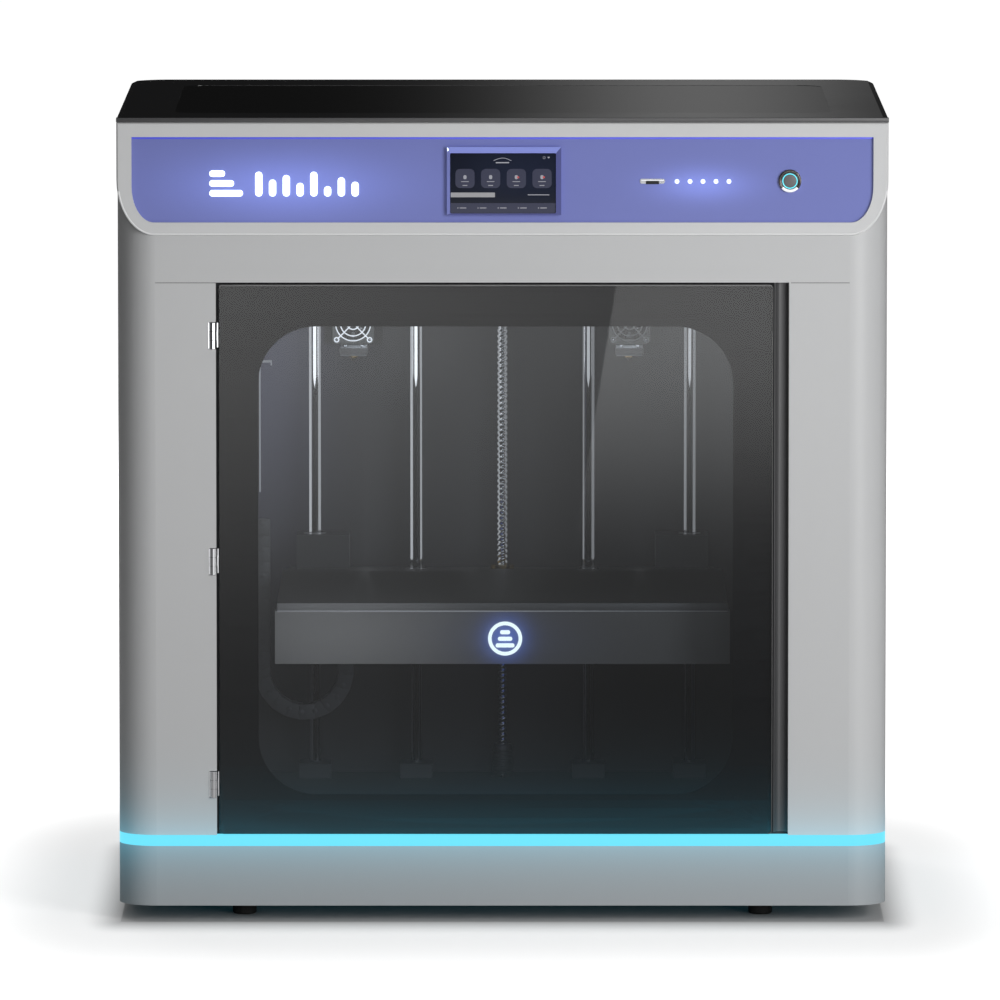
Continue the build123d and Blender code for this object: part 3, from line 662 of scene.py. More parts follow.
rodCard = {"half": 0.044, "y": 0.062, "low": 0.09, "high": 0.56, "left": 2.2, "right": 0.85, "shift": 0.004,
           "tipSlope": 2.6, "tipDrop": -1.1453, "lineHalf": 0.026}
rodEdge = {"out": 0.046, "back": 0.146, "low": 0.28, "left": ((-1, 0.80, 0.088), (1, 0.62, 0.099)),
           "right": ((-1, 0.40, 0.104), (1, 0.34, 0.082))}
rodPlaces = (-0.174, -0.080, 0.080, 0.174)


# a bright line that narrows to a tip at its lower end, mirrored in a guide rod
def rodCardMaterial(strength):
    material, tree = emptyMaterial("rodCard")
    place = readPlace(tree)
    across = mathNode(tree, "ABSOLUTE", mathNode(tree, "ADD", place["X"], rodCard["shift"]))
    tip = mathNode(tree, "MULTIPLY_ADD", place["Z"], rodCard["tipSlope"], rodCard["tipDrop"])
    inside = mathNode(tree, "LESS_THAN", across, mathNode(tree, "MINIMUM", tip, rodCard["lineHalf"]))
    showShader(tree, emit(tree, mathNode(tree, "MULTIPLY", inside, strength)))
    return material


def buildStage():
    backdropWhite = glowMaterial("backdropWhite", 1.0)
    half, radius, foot, top = (studio[key] for key in ("floorHalf", "wallRadius", "wallFoot", "wallTop"))
    everything = ("camera", "diffuse", "glossy", "transmission", "shadow", "volume_scatter")
    stagePlane("studioFloorPlane", levelCorners(half, 0), floorMaterial(), everything)
    stagePlane("studioVeil", levelCorners(half, veil["height"]), veilMaterial(), ("camera",))
    stagePlane("studioCeiling", levelCorners(half, top), backdropWhite, ("camera",))
    for i in range(studio["wallSides"]):
        angles = (2 * math.pi * k / studio["wallSides"] for k in (i, i + 1))
        a, b = (Vector((math.cos(angle), math.sin(angle), 0)) * radius for angle in angles)
        corners = [(a.x, a.y, foot), (b.x, b.y, foot), (b.x, b.y, top), (a.x, a.y, top)]
        stagePlane("studioBackdrop", corners, backdropWhite, ("camera",))


def buildMirrorCards():
    half, low, high = rodCard["half"], rodCard["low"], rodCard["high"]
    for rodX in rodPlaces:
        hand = "left" if rodX < 0 else "right"
        corners = wallCorners(-half, half, rodCard["y"], low, high)
        card = stagePlane("rodMirrorCard", corners, rodCardMaterial(rodCard[hand]), ("glossy",))
        card.location = (rodX, 0, 0)
        for side, strength, near in rodEdge[hand]:
            x, far, foot = rodX + side * rodEdge["out"], rodEdge["back"], rodEdge["low"]
            corners = [(x, near, foot), (x, far, foot), (x, far, high), (x, near, high)]
            stagePlane("rodEdgeCard", corners, glowMaterial("rodEdge", strength), ("glossy",))
    half = doorCard["half"]
    corners = wallCorners(-half, half, doorCard["y"], 0.0, doorCard["high"])
    stagePlane("doorMirrorCard", corners, doorCardMaterial(), ("glossy",))
    half = lidCard["half"]
    corners = wallCorners(-half, half, lidCard["y"], lidCard["low"], lidCard["high"])
    stagePlane("lidMirrorCard", corners, lidCardMaterial(), ("glossy",))


buildStage()
buildMirrorCards()

view = {"lens": 437.4, "sensor": 36, "reach": 400, "x": -0.0022, "distance": 10.828, "height": 1.514,
        "down": 5.97}
cameraData = bpy.data.cameras.new("camera")
cameraData.sensor_width = view["sensor"]
cameraData.lens = view["lens"]
cameraData.clip_end = view["reach"]
camera = bpy.data.objects.new("camera", cameraData)
camera.location = (view["x"], caseFront - view["distance"], view["height"])
camera.rotation_euler = (math.radians(90 - view["down"]), 0, 0)
bpy.context.scene.collection.objects.link(camera)
bpy.context.scene.camera = camera
print("studio ready")


# control panel

tileBlue = surface(
    "tileBlue", color=(0.014, 0.016, 0.036), rough=0.3, bump=0.0, emission=(0.010, 0.012, 0.030),
    strength=0.7)
iconGrey = surface(
    "iconGrey", color=(0.3, 0.3, 0.33), rough=0.4, bump=0.0, emission=(0.24, 0.25, 0.30), strength=0.25)
iconRed = surface(
    "iconRed", color=(0.4, 0.05, 0.05), rough=0.4, bump=0.0, emission=(0.45, 0.05, 0.05), strength=0.35)
barGrey = surface(
    "barGrey", color=(0.2, 0.2, 0.21), rough=0.4, bump=0.0, emission=(0.17, 0.17, 0.18), strength=0.7)
screen = {
    "front": -0.28500, "depth": 0.0002, "layer": 0.0001, "inset": 0.00005,
    "footBar": (-0.0464, 0.0473, 0.6396, 0.6485), "progress": (-0.0462, -0.0067, 0.6538, 0.6580),
    "sideLine": (0.0225, 0.0420, 0.6556, 0.6563), "titleLine": (-0.0060, 0.0060, 0.6843, 0.6853),
    "tiles": 4, "tileHalf": 0.0086, "tileRadius": 0.0042, "left": -0.0335, "step": 0.02295,
    "tileHeight": 0.6706,
    "icon": (-0.0014, 0.0014, -0.0006, 0.0030), "redMark": (0.0006, 0.0026, 0.0002, 0.0020),
    "label": (-0.0034, 0.0034, -0.0031, -0.0025), "reading": (-0.0022, 0.0022, -0.0066, -0.0059),
    "marks": 5, "markLeft": -0.0357, "markStep": 0.0180, "markDot": (-0.0046, -0.0036, 0.6437, 0.6447),
    "markLine": (-0.0026, 0.0034, 0.6438, 0.6446), "arcLeft": -0.0080, "arcStep": 0.0016, "arcFoot": 0.6865,
    "arcRise": 0.0024, "dial": (0.0372, 0.6892), "dialRadius": 0.0010, "line": 0.0003, "corner": 0.0004,
    "signal": ((0.0400, 0.6900), (0.0425, 0.6900), (0.04125, 0.6884))}


def buildScreenFace():
    face = Shape()
    y, layer, line, corner = (screen[key] for key in ("front", "layer", "line", "corner"))
    back, lifted, half = y + screen["depth"], y - layer, screen["tileHalf"]
    face.tab(screen["footBar"], 0.0006, y + screen["inset"], back)
    for i in range(screen["tiles"]):
        at = {"x": screen["left"] + i * screen["step"], "z": screen["tileHeight"]}
        face.tab((-half, half, -half, half), screen["tileRadius"], y, back, **at)
        face.tab(screen["icon"], 0.0012, lifted, y, 1, **at)
        if i > 1:
            face.tab(screen["redMark"], 0.0009, y - 2 * layer, lifted, 2, **at)
        face.tab(screen["label"], line, lifted, y, 1, **at)
        face.tab(screen["reading"], line, lifted, y, 1, **at)
    face.tab(screen["progress"], corner, y, back, 3)
    face.tab(screen["sideLine"], line, y, back, 1)
    for i in range(screen["marks"]):
        x = screen["markLeft"] + screen["markStep"] * i
        face.tab(screen["markDot"], corner, lifted, y, 1, x)
        face.tab(screen["markLine"], line, lifted, y, 1, x)
    arc = [(screen["arcLeft"] + screen["arcStep"] * i, y,
            screen["arcFoot"] + screen["arcRise"] * math.sin(math.pi * i / 10)) for i in range(11)]
    face.tube(arc, line, 6, slot=1)
    face.tab(screen["titleLine"], corner, lifted, y + layer, 1)
    dialX, dialZ = screen["dial"]
    face.tube(circlePoints(dialX, y, dialZ, screen["dialRadius"], 16), 0.0002, 6, slot=1, closed=True)
    face.plate(screen["signal"], lifted, y + layer, slot=1)
    piece = face.finish("screenFace", [tileBlue, iconGrey, iconRed, barGrey])
    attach(piece, "enclosure")


# painted light and shade: a lit and a shaded copy of the bezel blue
bezelPaintedLit = surface(
    "bezelPaintedLit", color=(0.21, 0.25, 0.62), rough=0.3, bump=0.0, emission=(0.2, 0.25, 0.8), strength=0.12)
bezelPaintedShade = surface("bezelPaintedShade", color=(0.060, 0.070, 0.25), rough=0.35, bump=0.0)
bezel = {"outer": ((-0.0497, 0.6380), (0.0525, 0.6380), (0.0525, 0.6989), (-0.0497, 0.6989)),
         "inner": ((-0.0468, 0.6393), (0.0479, 0.6393), (0.0479, 0.6935), (-0.0468, 0.6935)),
         "slots": (1, 1, 0, 2), "near": -0.28665, "far": -0.28595, "edge": 0.00015,
         "glint": ((-0.0495, 0.6986), (-0.0479, 0.6968), (-0.0490, 0.6948)),
         "glintSides": (-0.28685, -0.28660)}


# the top side is the lit copy and the bottom and right sides the shaded copy, painted light and shade; a small
# glowing triangle at the top left corner is a painted glint
def buildScreenBezel():
    shape = Shape()
    outer, inner, near, far = (bezel[key] for key in ("outer", "inner", "near", "far"))
    for k, slot in enumerate(bezel["slots"]):
        j = (k + 1) % len(outer)
        shape.plate([outer[k], outer[j], inner[j], inner[k]], near, far, bezel["edge"], slot)
    shape.plate(bezel["glint"], *bezel["glintSides"], slot=3)
    piece = shape.finish("screenBezel", [bezelPaintedLit, bezelPaintedShade, panelBlue, markGlow])
    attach(piece, "enclosure")


buttonCyan = surface(
    "buttonCyan", color=(0.05, 0.3, 0.35), rough=0.3, bump=0.0, emission=(0.12, 0.85, 1.0), strength=1.0)
button = {"middle": (0.2569, -0.28495, 0.6683), "ringRadius": 0.0064, "ringWire": 0.00042,
          "cap": ((0.0056, 0.0), (0.0056, 0.0003), (0.0050, 0.0005), (0.0, 0.00052))}


def buildButtonFace():
    cap = Shape()
    ring = circlePoints(*button["middle"], button["ringRadius"], 48)
    cap.tube(ring, button["ringWire"], 8, closed=True)
    cap.lathe(button["cap"], button["middle"], forward, 40, slot=1)
    piece = cap.finish("buttonFace", [buttonCyan, greyPlastic])
    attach(piece, "start_button")


ringDark = surface("ringDark", color=(0.10, 0.09, 0.085), metallic=0.7, rough=0.2, bump=0.0)
# painted highlight: a glowing white used for glints
glintWhite = surface(
    "glintWhite", color=(0.85, 0.86, 0.90), rough=0.25, bump=0.0, emission=(0.9, 0.92, 1.0), strength=0.35)
housing = {"x": 0.2569, "z": 0.6683, "y": -0.2843, "radius": 0.0090, "wire": 0.0012, "glintY": -0.2846,
           "glintRadius": 0.0089, "glintWire": 0.00125, "glintStart": 222, "glintStep": 3}


# a dark metal ring with a painted glint: a glowing arc along its lower edge
def buildButtonRing():
    ring = Shape()
    x, z = housing["x"], housing["z"]
    whole = circlePoints(x, housing["y"], z, housing["radius"], 56)
    glint = arcPoints(x, housing["glintY"], z, housing["glintRadius"], housing["glintStart"],
                      housing["glintStep"], 33)
    ring.tube(whole, housing["wire"], 10, closed=True)
    ring.tube(glint, housing["glintWire"], 10, slot=1)
    piece = ring.finish("buttonRing", [ringDark, glintWhite])
    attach(piece, "enclosure")


mouth = {"outline": ((0.1226, 0.6686), (0.1252, 0.6664), (0.1432, 0.6664), (0.1458, 0.6686), (0.1432, 0.6694),
                     (0.1252, 0.6694)), "near": -0.28375, "far": -0.2825, "edge": 0.0002, "tabBack": -0.2837,
         "lip": (0.1240, 0.1444, 0.66865, 0.66925), "slot": (0.1282, 0.1400, 0.66545, 0.66835)}


# the lip of the card mouth is a painted highlight in glowing white
def buildCardMouth():
    shape = Shape()
    shape.plate(mouth["outline"], mouth["near"], mouth["far"], mouth["edge"])
    shape.tab(mouth["lip"], 0.0003, -0.28395, mouth["tabBack"], 1)
    shape.tab(mouth["slot"], 0.0004, -0.28400, mouth["tabBack"], 2)
    piece = shape.finish("cardMouth", [groundSteel, glintWhite, rubberBlack])
    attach(piece, "enclosure")


# lines along the panel, the case and the lid; the blue line along the top of the panel is a painted highlight

seamGrey = surface("seamGrey", color=(0.10, 0.10, 0.10), rough=0.7, bump=0.0)
panelHighlight = {"low": (-0.3312, -0.28300, 0.7058), "high": (0.3312, -0.28255, 0.7076), "edge": 0.0002}
seams = {"spans": ((-0.3106, -0.2560), (0.2580, 0.3106)), "y": (-0.28406, -0.28380), "z": (0.57665, 0.57720)}
lidEdge = {"low": (-0.3452, -0.28625, 0.7211), "high": (0.3452, -0.28540, 0.7249), "edge": 0.0004}


# a painted highlight: a bright blue bar along the top of the panel
def buildPanelHighlight():
    piece = boxPiece("panelHighlight", [(panelHighlight["low"], panelHighlight["high"], panelHighlight["edge"], 0)], [highlightBlue])
    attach(piece, "enclosure")


def buildPanelSeams():
    (near, far), (bottom, top) = seams["y"], seams["z"]
    boxes = [((left, near, bottom), (right, far, top), 0.0, 0) for left, right in seams["spans"]]
    piece = boxPiece("panelSeams", boxes, [seamGrey])
    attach(piece, "enclosure")


def buildLidEdge():
    piece = boxPiece("lidEdge", [(lidEdge["low"], lidEdge["high"], lidEdge["edge"], 0)], [lipGrey])
    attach(piece, "lid")


# painted highlight: a pale grey with a faint white glow
fasciaHighlightPaint = surface(
    "fasciaHighlightPaint", color=(0.66, 0.665, 0.67), rough=0.3, bump=0.0, vary=0.02, emission=(1, 1, 1),
    strength=0.06)
fascia = {"wire": 0.0012, "y": -0.2846, "cornerX": 0.3107, "cornerZ": 0.6694, "cornerWide": 0.0343,
          "cornerHigh": 0.050, "foot": 0.6206, "footStep": 0.02}


# a painted highlight: a thin glowing tube along the lower edge and lower corners of the fascia
def buildFasciaHighlight():
    edge = Shape()
    wire, y = fascia["wire"], fascia["y"]
    left = []
    for t in (math.radians(4 * i) for i in range(3, 23)):
        x = -(fascia["cornerX"] + fascia["cornerWide"] * math.cos(t)) + wire * math.cos(t)
        left.append((x, y, fascia["cornerZ"] - fascia["cornerHigh"] * math.sin(t) + wire * math.sin(t)))
    right = [(-x, y, z) for x, y, z in reversed(left)]
    middle = [(i * fascia["footStep"], y, fascia["foot"]) for i in range(-15, 16)]
    edge.tube(left + middle + right, wire, 10)
    piece = edge.finish("fasciaHighlight", [fasciaHighlightPaint])
    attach(piece, "enclosure")


# painted highlight along the door's edge: lighter along the top, darker down the right side
doorGlintTop = surface("doorGlintTop", color=(0.17, 0.17, 0.172), rough=0.3, bump=0.0)
doorGlintSide = surface("doorGlintSide", color=(0.075, 0.075, 0.077), rough=0.35, bump=0.0)
rim = {"y": -0.2841, "right": 0.2419, "top": 0.5747, "low": 0.0802, "corner": 0.0032, "wire": 0.00062,
       "sideWire": 0.00042, "step": 0.025, "start": ((-0.2532, -0.0016), (-0.2528, -0.0004), (-0.2516, 0.0))}


# a painted highlight: thin tubes along the top edge and down the right edge of the door
def buildDoorGlint():
    shape = Shape()
    y, right, top, low, corner = (rim[key] for key in ("y", "right", "top", "low", "corner"))
    bend = arcPoints(right - corner, y, top - corner, corner, 90, -9, 11)
    foot = arcPoints(right - corner, y, low + corner, corner, 0, -9, 11)
    start = [(x, y, top + drop) for x, drop in rim["start"]]
    along = [(i * rim["step"], y, top) for i in range(-9, 10)]
    down = [(right, y, i * rim["step"]) for i in range(22, 3, -1)]
    shape.tube(start + along + bend[:6], rim["wire"], 8)
    shape.tube(bend[5:] + down + foot, rim["sideWire"], 8, slot=1)
    piece = shape.finish("doorGlint", [doorGlintTop, doorGlintSide])
    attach(piece, "door")


buildScreenFace()
buildScreenBezel()
buildButtonFace()
buildButtonRing()
buildCardMouth()
buildPanelHighlight()
buildPanelSeams()
buildLidEdge()
buildFasciaHighlight()
buildDoorGlint()
print("controls and lid dressed")


# lift screw

lift = {"y": 0.1165, "bottom": 0.112, "top": 0.5495, "pitch": 0.005, "starts": 2, "root": 0.0040,
        "crest": 0.0050, "sides": 24, "step": 0.00065, "flank": 5.2, "flat": 1.8, "coupler": 0.086,
        "couplerRadius": 0.0095,
        "couplerLength": 0.026, "cuts": 5, "cutFirst": 0.005, "cutStep": 0.0035, "cutRadius": 0.0087,
        "shaftRadius": 0.0025, "shaftFoot": 0.0732, "shaftLength": 0.014}


def threadRadius(z, k):
    phase = (z / lift["pitch"] - lift["starts"] * k / lift["sides"]) % 1.0
    rise = max(0.0, min(1.0, lift["flat"] - abs(phase - 0.5) * lift["flank"]))
    return lift["root"] + (lift["crest"] - lift["root"]) * rise


def couplerProfile():
    wide, cut, length, narrow = lift["couplerRadius"], lift["cutRadius"], lift["couplerLength"], 0.0085
    profile = [(0.0, 0.0), (narrow, 0.0), (wide, 0.001)]
    for i in range(lift["cuts"]):
        z = lift["cutFirst"] + lift["cutStep"] * i
        profile += [(wide, z), (cut, z + 0.0004), (cut, z + 0.0008), (wide, z + 0.0012)]
    return profile + [(wide, length - 0.001), (narrow, length), (lift["crest"], length)]


def buildLiftScrew():
    shape = Shape()
    middle, bottom, length = lift["y"], lift["bottom"], lift["top"] - lift["bottom"]
    count = int(length / lift["step"])
    rings = []
    for i in range(count + 1):
        z = bottom + length * i / count
        ring = []
        for k in range(lift["sides"]):
            angle, radius = 2 * math.pi * k / lift["sides"], threadRadius(z, k)
            point = (radius * math.cos(angle), middle + radius * math.sin(angle), z)
            ring.append(shape.mesh.verts.new(point))
        rings.append(ring)
    shape.skin(rings)
    shape.lathe(couplerProfile(), (0, middle, lift["coupler"]), upward, 40, slot=1)
    shaft = [(lift["shaftRadius"], 0.0), (lift["shaftRadius"], lift["shaftLength"])]
    shape.lathe(shaft, (0, middle, lift["shaftFoot"]), upward, 20)
    piece = shape.finish("liftScrew", [chrome, darkAlloy], 50)
    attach(piece, "lift_screw")
    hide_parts("z_screw")


# cable carrier

carrierBlack = surface("carrierBlack", color=(0.17, 0.17, 0.175), rough=0.42, bump=0.12, scale=1500.0)
carrier = {"pitch": 0.0122, "radius": 0.0385, "thick": 0.014, "y": 0.072, "left": -0.222, "right": -0.145,
           "middle": -0.1835, "top": 0.325, "bend": 0.1865, "rise": 0.056, "sideOut": 0.0092,
           "overlap": 0.0008, "plateHalf": 0.0008, "linkHalf": 0.0071, "bar": (0.0018, 0.0084, 0.0032),
           "pinDown": 0.0050,
           "cables": ((-0.002, -0.004, 0.0021), (0.0018, 0.0, 0.0024), (-0.001, 0.0045, 0.0019)),
           "cablePoints": 90}


# the point and direction at a distance along the carrier from its fixed end
def carrierPath(distance):
    y, radius = carrier["y"], carrier["radius"]
    first = carrier["top"] - carrier["bend"]
    turn = math.pi * radius
    if distance < first:
        return Vector((carrier["left"], y, carrier["top"] - distance)), Vector((0, 0, -1))
    if distance < first + turn:
        angle = (distance - first) / radius
        middle = Vector((carrier["middle"], y, carrier["bend"]))
        return (middle + Vector((-math.cos(angle), 0, -math.sin(angle))) * radius,
                Vector((math.sin(angle), 0, -math.cos(angle))))
    return Vector((carrier["right"], y, carrier["bend"] + distance - first - turn)), Vector(upward)


def addCarrierLink(chain, index):
    point, along = carrierPath((index + 0.5) * carrier["pitch"])
    across = Vector(backward)
    place = Matrix((along.cross(across).normalized(), across, along)).transposed().to_4x4()
    place.translation = point
    half, link, thin = carrier["thick"] / 2, carrier["linkHalf"], carrier["plateHalf"]
    shift = carrier["overlap"] if index % 2 else 0.0
    for side in (-1, 1):
        y = side * (carrier["sideOut"] - shift)
        chain.box((-half, y - thin, -link), (half, y + thin, link), 0.0006, 0, place)
        pin = place @ Vector((0, y + side * thin, -carrier["pinDown"]))
        outward = place.to_3x3() @ Vector((0, side, 0))
        chain.lathe(screwProfile(0.0028, 0.0005, 0.0022, 0.0008), pin, outward, 14)
    deep, wide, tall = carrier["bar"]
    for depth in (-half, half - deep):
        chain.box((depth, -wide, -tall), (depth + deep, wide, tall), 0.0004, 0, place)


def buildCarrier():
    chain = Shape()
    total = carrier["top"] - carrier["bend"] + math.pi * carrier["radius"] + carrier["rise"]
    for i in range(int(total / carrier["pitch"])):
        addCarrierLink(chain, i)
    for dx, dy, radius in carrier["cables"]:
        points = []
        for i in range(carrier["cablePoints"]):
            point, along = carrierPath(total * i / (carrier["cablePoints"] - 1))
            outward = along.cross(Vector(backward)).normalized()
            points.append(point + outward * dx + Vector((0, dy, 0)))
        chain.tube(points, radius, 8, slot=1)
    piece = chain.finish("cableCarrier", [carrierBlack, rubberBlack])
    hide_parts("cable_chain")
    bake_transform(piece)


# painted highlight: the guard's edges glow as emission
guardHighlight = surface(
    "guardHighlight", color=(0.42, 0.43, 0.45), rough=0.35, bump=0.0, emission=(0.42, 0.43, 0.46), strength=0.55)
guard = {"left": -0.262, "right": -0.2232, "lip": -0.2128, "y": 0.050, "low": 0.354, "high": 0.4756,
         "sheet": 0.0012, "edge": 0.0014, "deep": 0.010, "bevel": 0.0003, "proud": 0.0005,
         "lipThick": 0.0010, "lipDrop": 0.0042}


def buildCarrierGuard():
    left, right, lip, y, low, high = (guard[key] for key in ("left", "right", "lip", "y", "low", "high"))
    far, edge = y + guard["deep"], guard["edge"]
    bevel, thick = guard["bevel"], guard["lipThick"]
    boxes = [((left, y, low), (right, y + guard["sheet"], high), bevel, 0),
             ((right - edge, y - guard["proud"], low), (right, far, high), bevel, 1),
             ((left, y, high - edge), (lip, far, high), bevel, 1),
             ((lip - thick, y, high - guard["lipDrop"]), (lip, far, high - thick), bevel, 1)]
    piece = boxPiece("carrierGuard", boxes, [blackSheet, guardHighlight])
    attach(piece, "enclosure")


# bed

# painted light: a pale oval on the left of the plate's front edge
plateFront = surface(
    "plateFront", color=(0.105, 0.106, 0.110), rough=0.45, bump=0.05,
    lightPool=((-0.165, 0.0, 0.27), 0.105, 0.06, (0.66, 0.63, 0.61)))
# painted highlight along the fold, with a brighter glow to the left
foldHighlight = surface(
    "foldHighlight", color=(0.50, 0.50, 0.51), rough=0.3, bump=0.0, spotColor=(0.95, 0.95, 1.0),
    spots=[((-0.10, 0.0, 0.272), 0.17, 0.05, 0.32)])
plateEdge = {"low": (-0.2035, -0.19965, 0.2722), "high": (0.2035, -0.19912, 0.2790), "bevel": 0.0002,
             "foldStep": 0.02036, "foldY": -0.19935, "foldZ": 0.27185, "foldWire": 0.00048}


def buildPlateEdge():
    edge = Shape()
    edge.box(plateEdge["low"], plateEdge["high"], plateEdge["bevel"])
    fold = [(i * plateEdge["foldStep"], plateEdge["foldY"], plateEdge["foldZ"]) for i in range(-10, 11)]
    edge.tube(fold, plateEdge["foldWire"], 8, slot=1)
    piece = edge.finish("plateEdge", [plateFront, foldHighlight])
    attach(piece, "bed")


buildLiftScrew()
buildCarrier()
buildCarrierGuard()
buildPlateEdge()
print("lift and bed dressed")


# print heads

wireRed = surface("wireRed", color=(0.45, 0.03, 0.03), rough=0.4, bump=0.02)
# painted light: the sock, the right guard wires and the fan frames glow faintly as emission
sockGreyGlow = surface(
    "sockGreyGlow", color=(0.26, 0.26, 0.26), rough=0.6, bump=0.1, emission=(1, 1, 1), strength=0.045)
wireGreyGlow = surface(
    "wireGreyGlow", color=(0.55, 0.56, 0.57), rough=0.3, bump=0.02, emission=(0.85, 0.88, 0.92), strength=0.10)
fanGreyGlow = surface(
    "fanGreyGlow", color=(0.20, 0.205, 0.20), rough=0.5, bump=0.05, emission=(0.95, 1.0, 0.97), strength=0.035)
heads = {"left": -0.136, "right": 0.116}
fan = {"z": 0.523, "near": -0.0880, "far": -0.0780, "half": 0.0188, "bore": 0.0172, "cornerCut": 1.32,
       "sides": 64, "wire": 0.00055, "rings": (0.0055, 0.0115, 0.0160), "wireY": -0.0889, "eyeY": -0.0886,
       "bendY": -0.0885, "spokeIn": 0.004, "spokeOut": 0.0178, "eye": 0.0212, "eyeRadius": 0.0020,
       "strutY": -0.0790, "strutOut": 0.0173, "strutWire": 0.0011,
       "hub": ((0.0079, 0.0), (0.0079, 0.0022), (0.0, 0.0022))}
hotEnd = {
    "y": -0.0635, "z": 0.4863, "tip": ((0.0005, 0.0), (0.0010, 0.0004), (0.0036, 0.0032), (0.0036, 0.0034)),
    "hex": ((0.0040, 0.0), (0.0041, 0.0002), (0.0041, 0.0017), (0.0040, 0.0019)), "hexUp": 0.0033,
    "block": (0.0122, 0.0090, 0.0052, 0.0160, 0.0009), "sock": (0.0128, 0.0096, 0.0062, 0.0128, 0.0012),
    "screwOut": 0.0075, "screwNear": 0.0088, "screwUp": 0.0146, "neck": ((0.0030, 0.0), (0.0030, 0.0042)),
    "neckUp": 0.0158, "fins": 10, "finFirst": 0.0030, "finStep": 0.0040, "coreRadius": 0.0050,
    "finRadius": 0.0109, "finEdge": 0.0106, "coreLength": 0.0440, "finsUp": 0.0168,
    "wires": ((-0.004, -1, 3), (-0.0015, -1, 3), (0.0025, 1, 5), (0.0045, 1, 5)), "wirePoints": 16,
    "wireRadius": 0.0007, "bulge": 0.010, "lean": 0.006, "wireBack": 0.0090, "wireUp": 0.010,
    "wireRise": 0.052}


def addFanFrame(shape, x):
    outer, inner = [], []
    for i in range(fan["sides"]):
        angle = 2 * math.pi * i / fan["sides"]
        c, s = math.cos(angle), math.sin(angle)
        reach = min(fan["half"] / max(abs(c), abs(s)), fan["half"] * fan["cornerCut"])
        outer.append((x + c * reach, fan["z"] + s * reach))
        inner.append((x + c * fan["bore"], fan["z"] + s * fan["bore"]))
    near, far = fan["near"], fan["far"]
    rows = [[shape.mesh.verts.new((px, y, pz)) for px, pz in ring]
            for ring, y in ((outer, near), (inner, near), (inner, far), (outer, far))]
    shape.settle(shape.skin(rows, closed=True), 0, 0)


def buildHeadFan(name, x, body):
    shape = Shape()
    z, wire, eye = fan["z"], fan["wire"], fan["eye"]
    addFanFrame(shape, x)
    for radius in fan["rings"]:
        shape.tube(circlePoints(x, fan["wireY"], z, radius, 48), wire, 8, slot=1, closed=True)
    for a in (math.radians(angle) for angle in (45, 135, 225, 315)):
        c, s = math.cos(a), math.sin(a)
        spoke = [(x + c * out, y, z + s * out) for out, y in (
            (fan["spokeIn"], fan["wireY"]), (fan["spokeOut"], fan["wireY"]), (eye, fan["bendY"]))]
        shape.tube(spoke, wire, 8, slot=1)
        ring = circlePoints(x + c * eye, fan["eyeY"], z + s * eye, fan["eyeRadius"], 20)
        shape.tube(ring, wire, 6, slot=1, closed=True)
        head = screwProfile(0.0014, 0.0012, 0.0010, 0.0015)
        shape.lathe(head, (x + c * eye, fan["near"], z + s * eye), forward, 16, slot=2)
    for a in (math.radians(angle) for angle in (0, 120, 240)):
        end = (x + math.cos(a) * fan["strutOut"], fan["strutY"], z + math.sin(a) * fan["strutOut"])
        shape.tube([(x, fan["strutY"], z), end], fan["strutWire"], 6)
    shape.lathe(fan["hub"], (x, fan["far"], z), forward, 28)
    piece = shape.finish(name + "FanFrame", [fanGreyGlow, wireWhiteGlow if x < 0 else wireGreyGlow, chrome])
    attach(piece, body)
    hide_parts(name + "_fan")


def finProfile():
    core, edge, reach = hotEnd["coreRadius"], hotEnd["finEdge"], hotEnd["finRadius"]
    profile = [(core, 0.0)]
    for i in range(hotEnd["fins"]):
        h = hotEnd["finFirst"] + hotEnd["finStep"] * i
        profile += [(core, h), (edge, h), (reach, h + 0.0002), (reach, h + 0.0013), (edge, h + 0.0015),
                    (core, h + 0.0015)]
    return profile + [(core, hotEnd["coreLength"])]


def buildHotEnd(name, x, body):
    hot = Shape()
    y, z = hotEnd["y"], hotEnd["z"]
    hot.lathe(hotEnd["tip"], (x, y, z), upward, 24, slot=1)
    hot.lathe(hotEnd["hex"], (x, y, z + hotEnd["hexUp"]), upward, 6, slot=1)
    for part, slot in (("block", 0), ("sock", 4)):
        wide, deep, low, high, bevel = hotEnd[part]
        hot.box((x - wide, y - deep, z + low), (x + wide, y + deep, z + high), bevel, slot)
    for dx in (-hotEnd["screwOut"], hotEnd["screwOut"]):
        place = (x + dx, y - hotEnd["screwNear"], z + hotEnd["screwUp"])
        hot.lathe(screwProfile(0.0016, 0.0007, 0.0010, 0.0009), place, forward, 16, slot=2)
    hot.lathe(hotEnd["neck"], (x, y, z + hotEnd["neckUp"]), upward, 20, slot=2)
    hot.lathe(finProfile(), (x, y, z + hotEnd["finsUp"]), upward, 36)
    for dx, way, color in hotEnd["wires"]:
        points = []
        for t in (i / (hotEnd["wirePoints"] - 1) for i in range(hotEnd["wirePoints"])):
            points.append((x + dx + hotEnd["bulge"] * t * way * (1 - t),
                           y + hotEnd["wireBack"] + hotEnd["lean"] * math.sin(math.pi * t * 0.5),
                           z + hotEnd["wireUp"] + hotEnd["wireRise"] * t))
        hot.tube(points, hotEnd["wireRadius"], 6, slot=color)
    piece = hot.finish(name + "HotEnd", [aluminium, brass, chrome, wireRed, sockGreyGlow, wireWhiteGlow])
    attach(piece, body)
    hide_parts(name + "_hotend")


for headName, headX in heads.items():
    buildHeadFan(headName, headX, headName + "_head")
    buildHotEnd(headName, headX, headName + "_head")
print("heads dressed")


# back of the machine

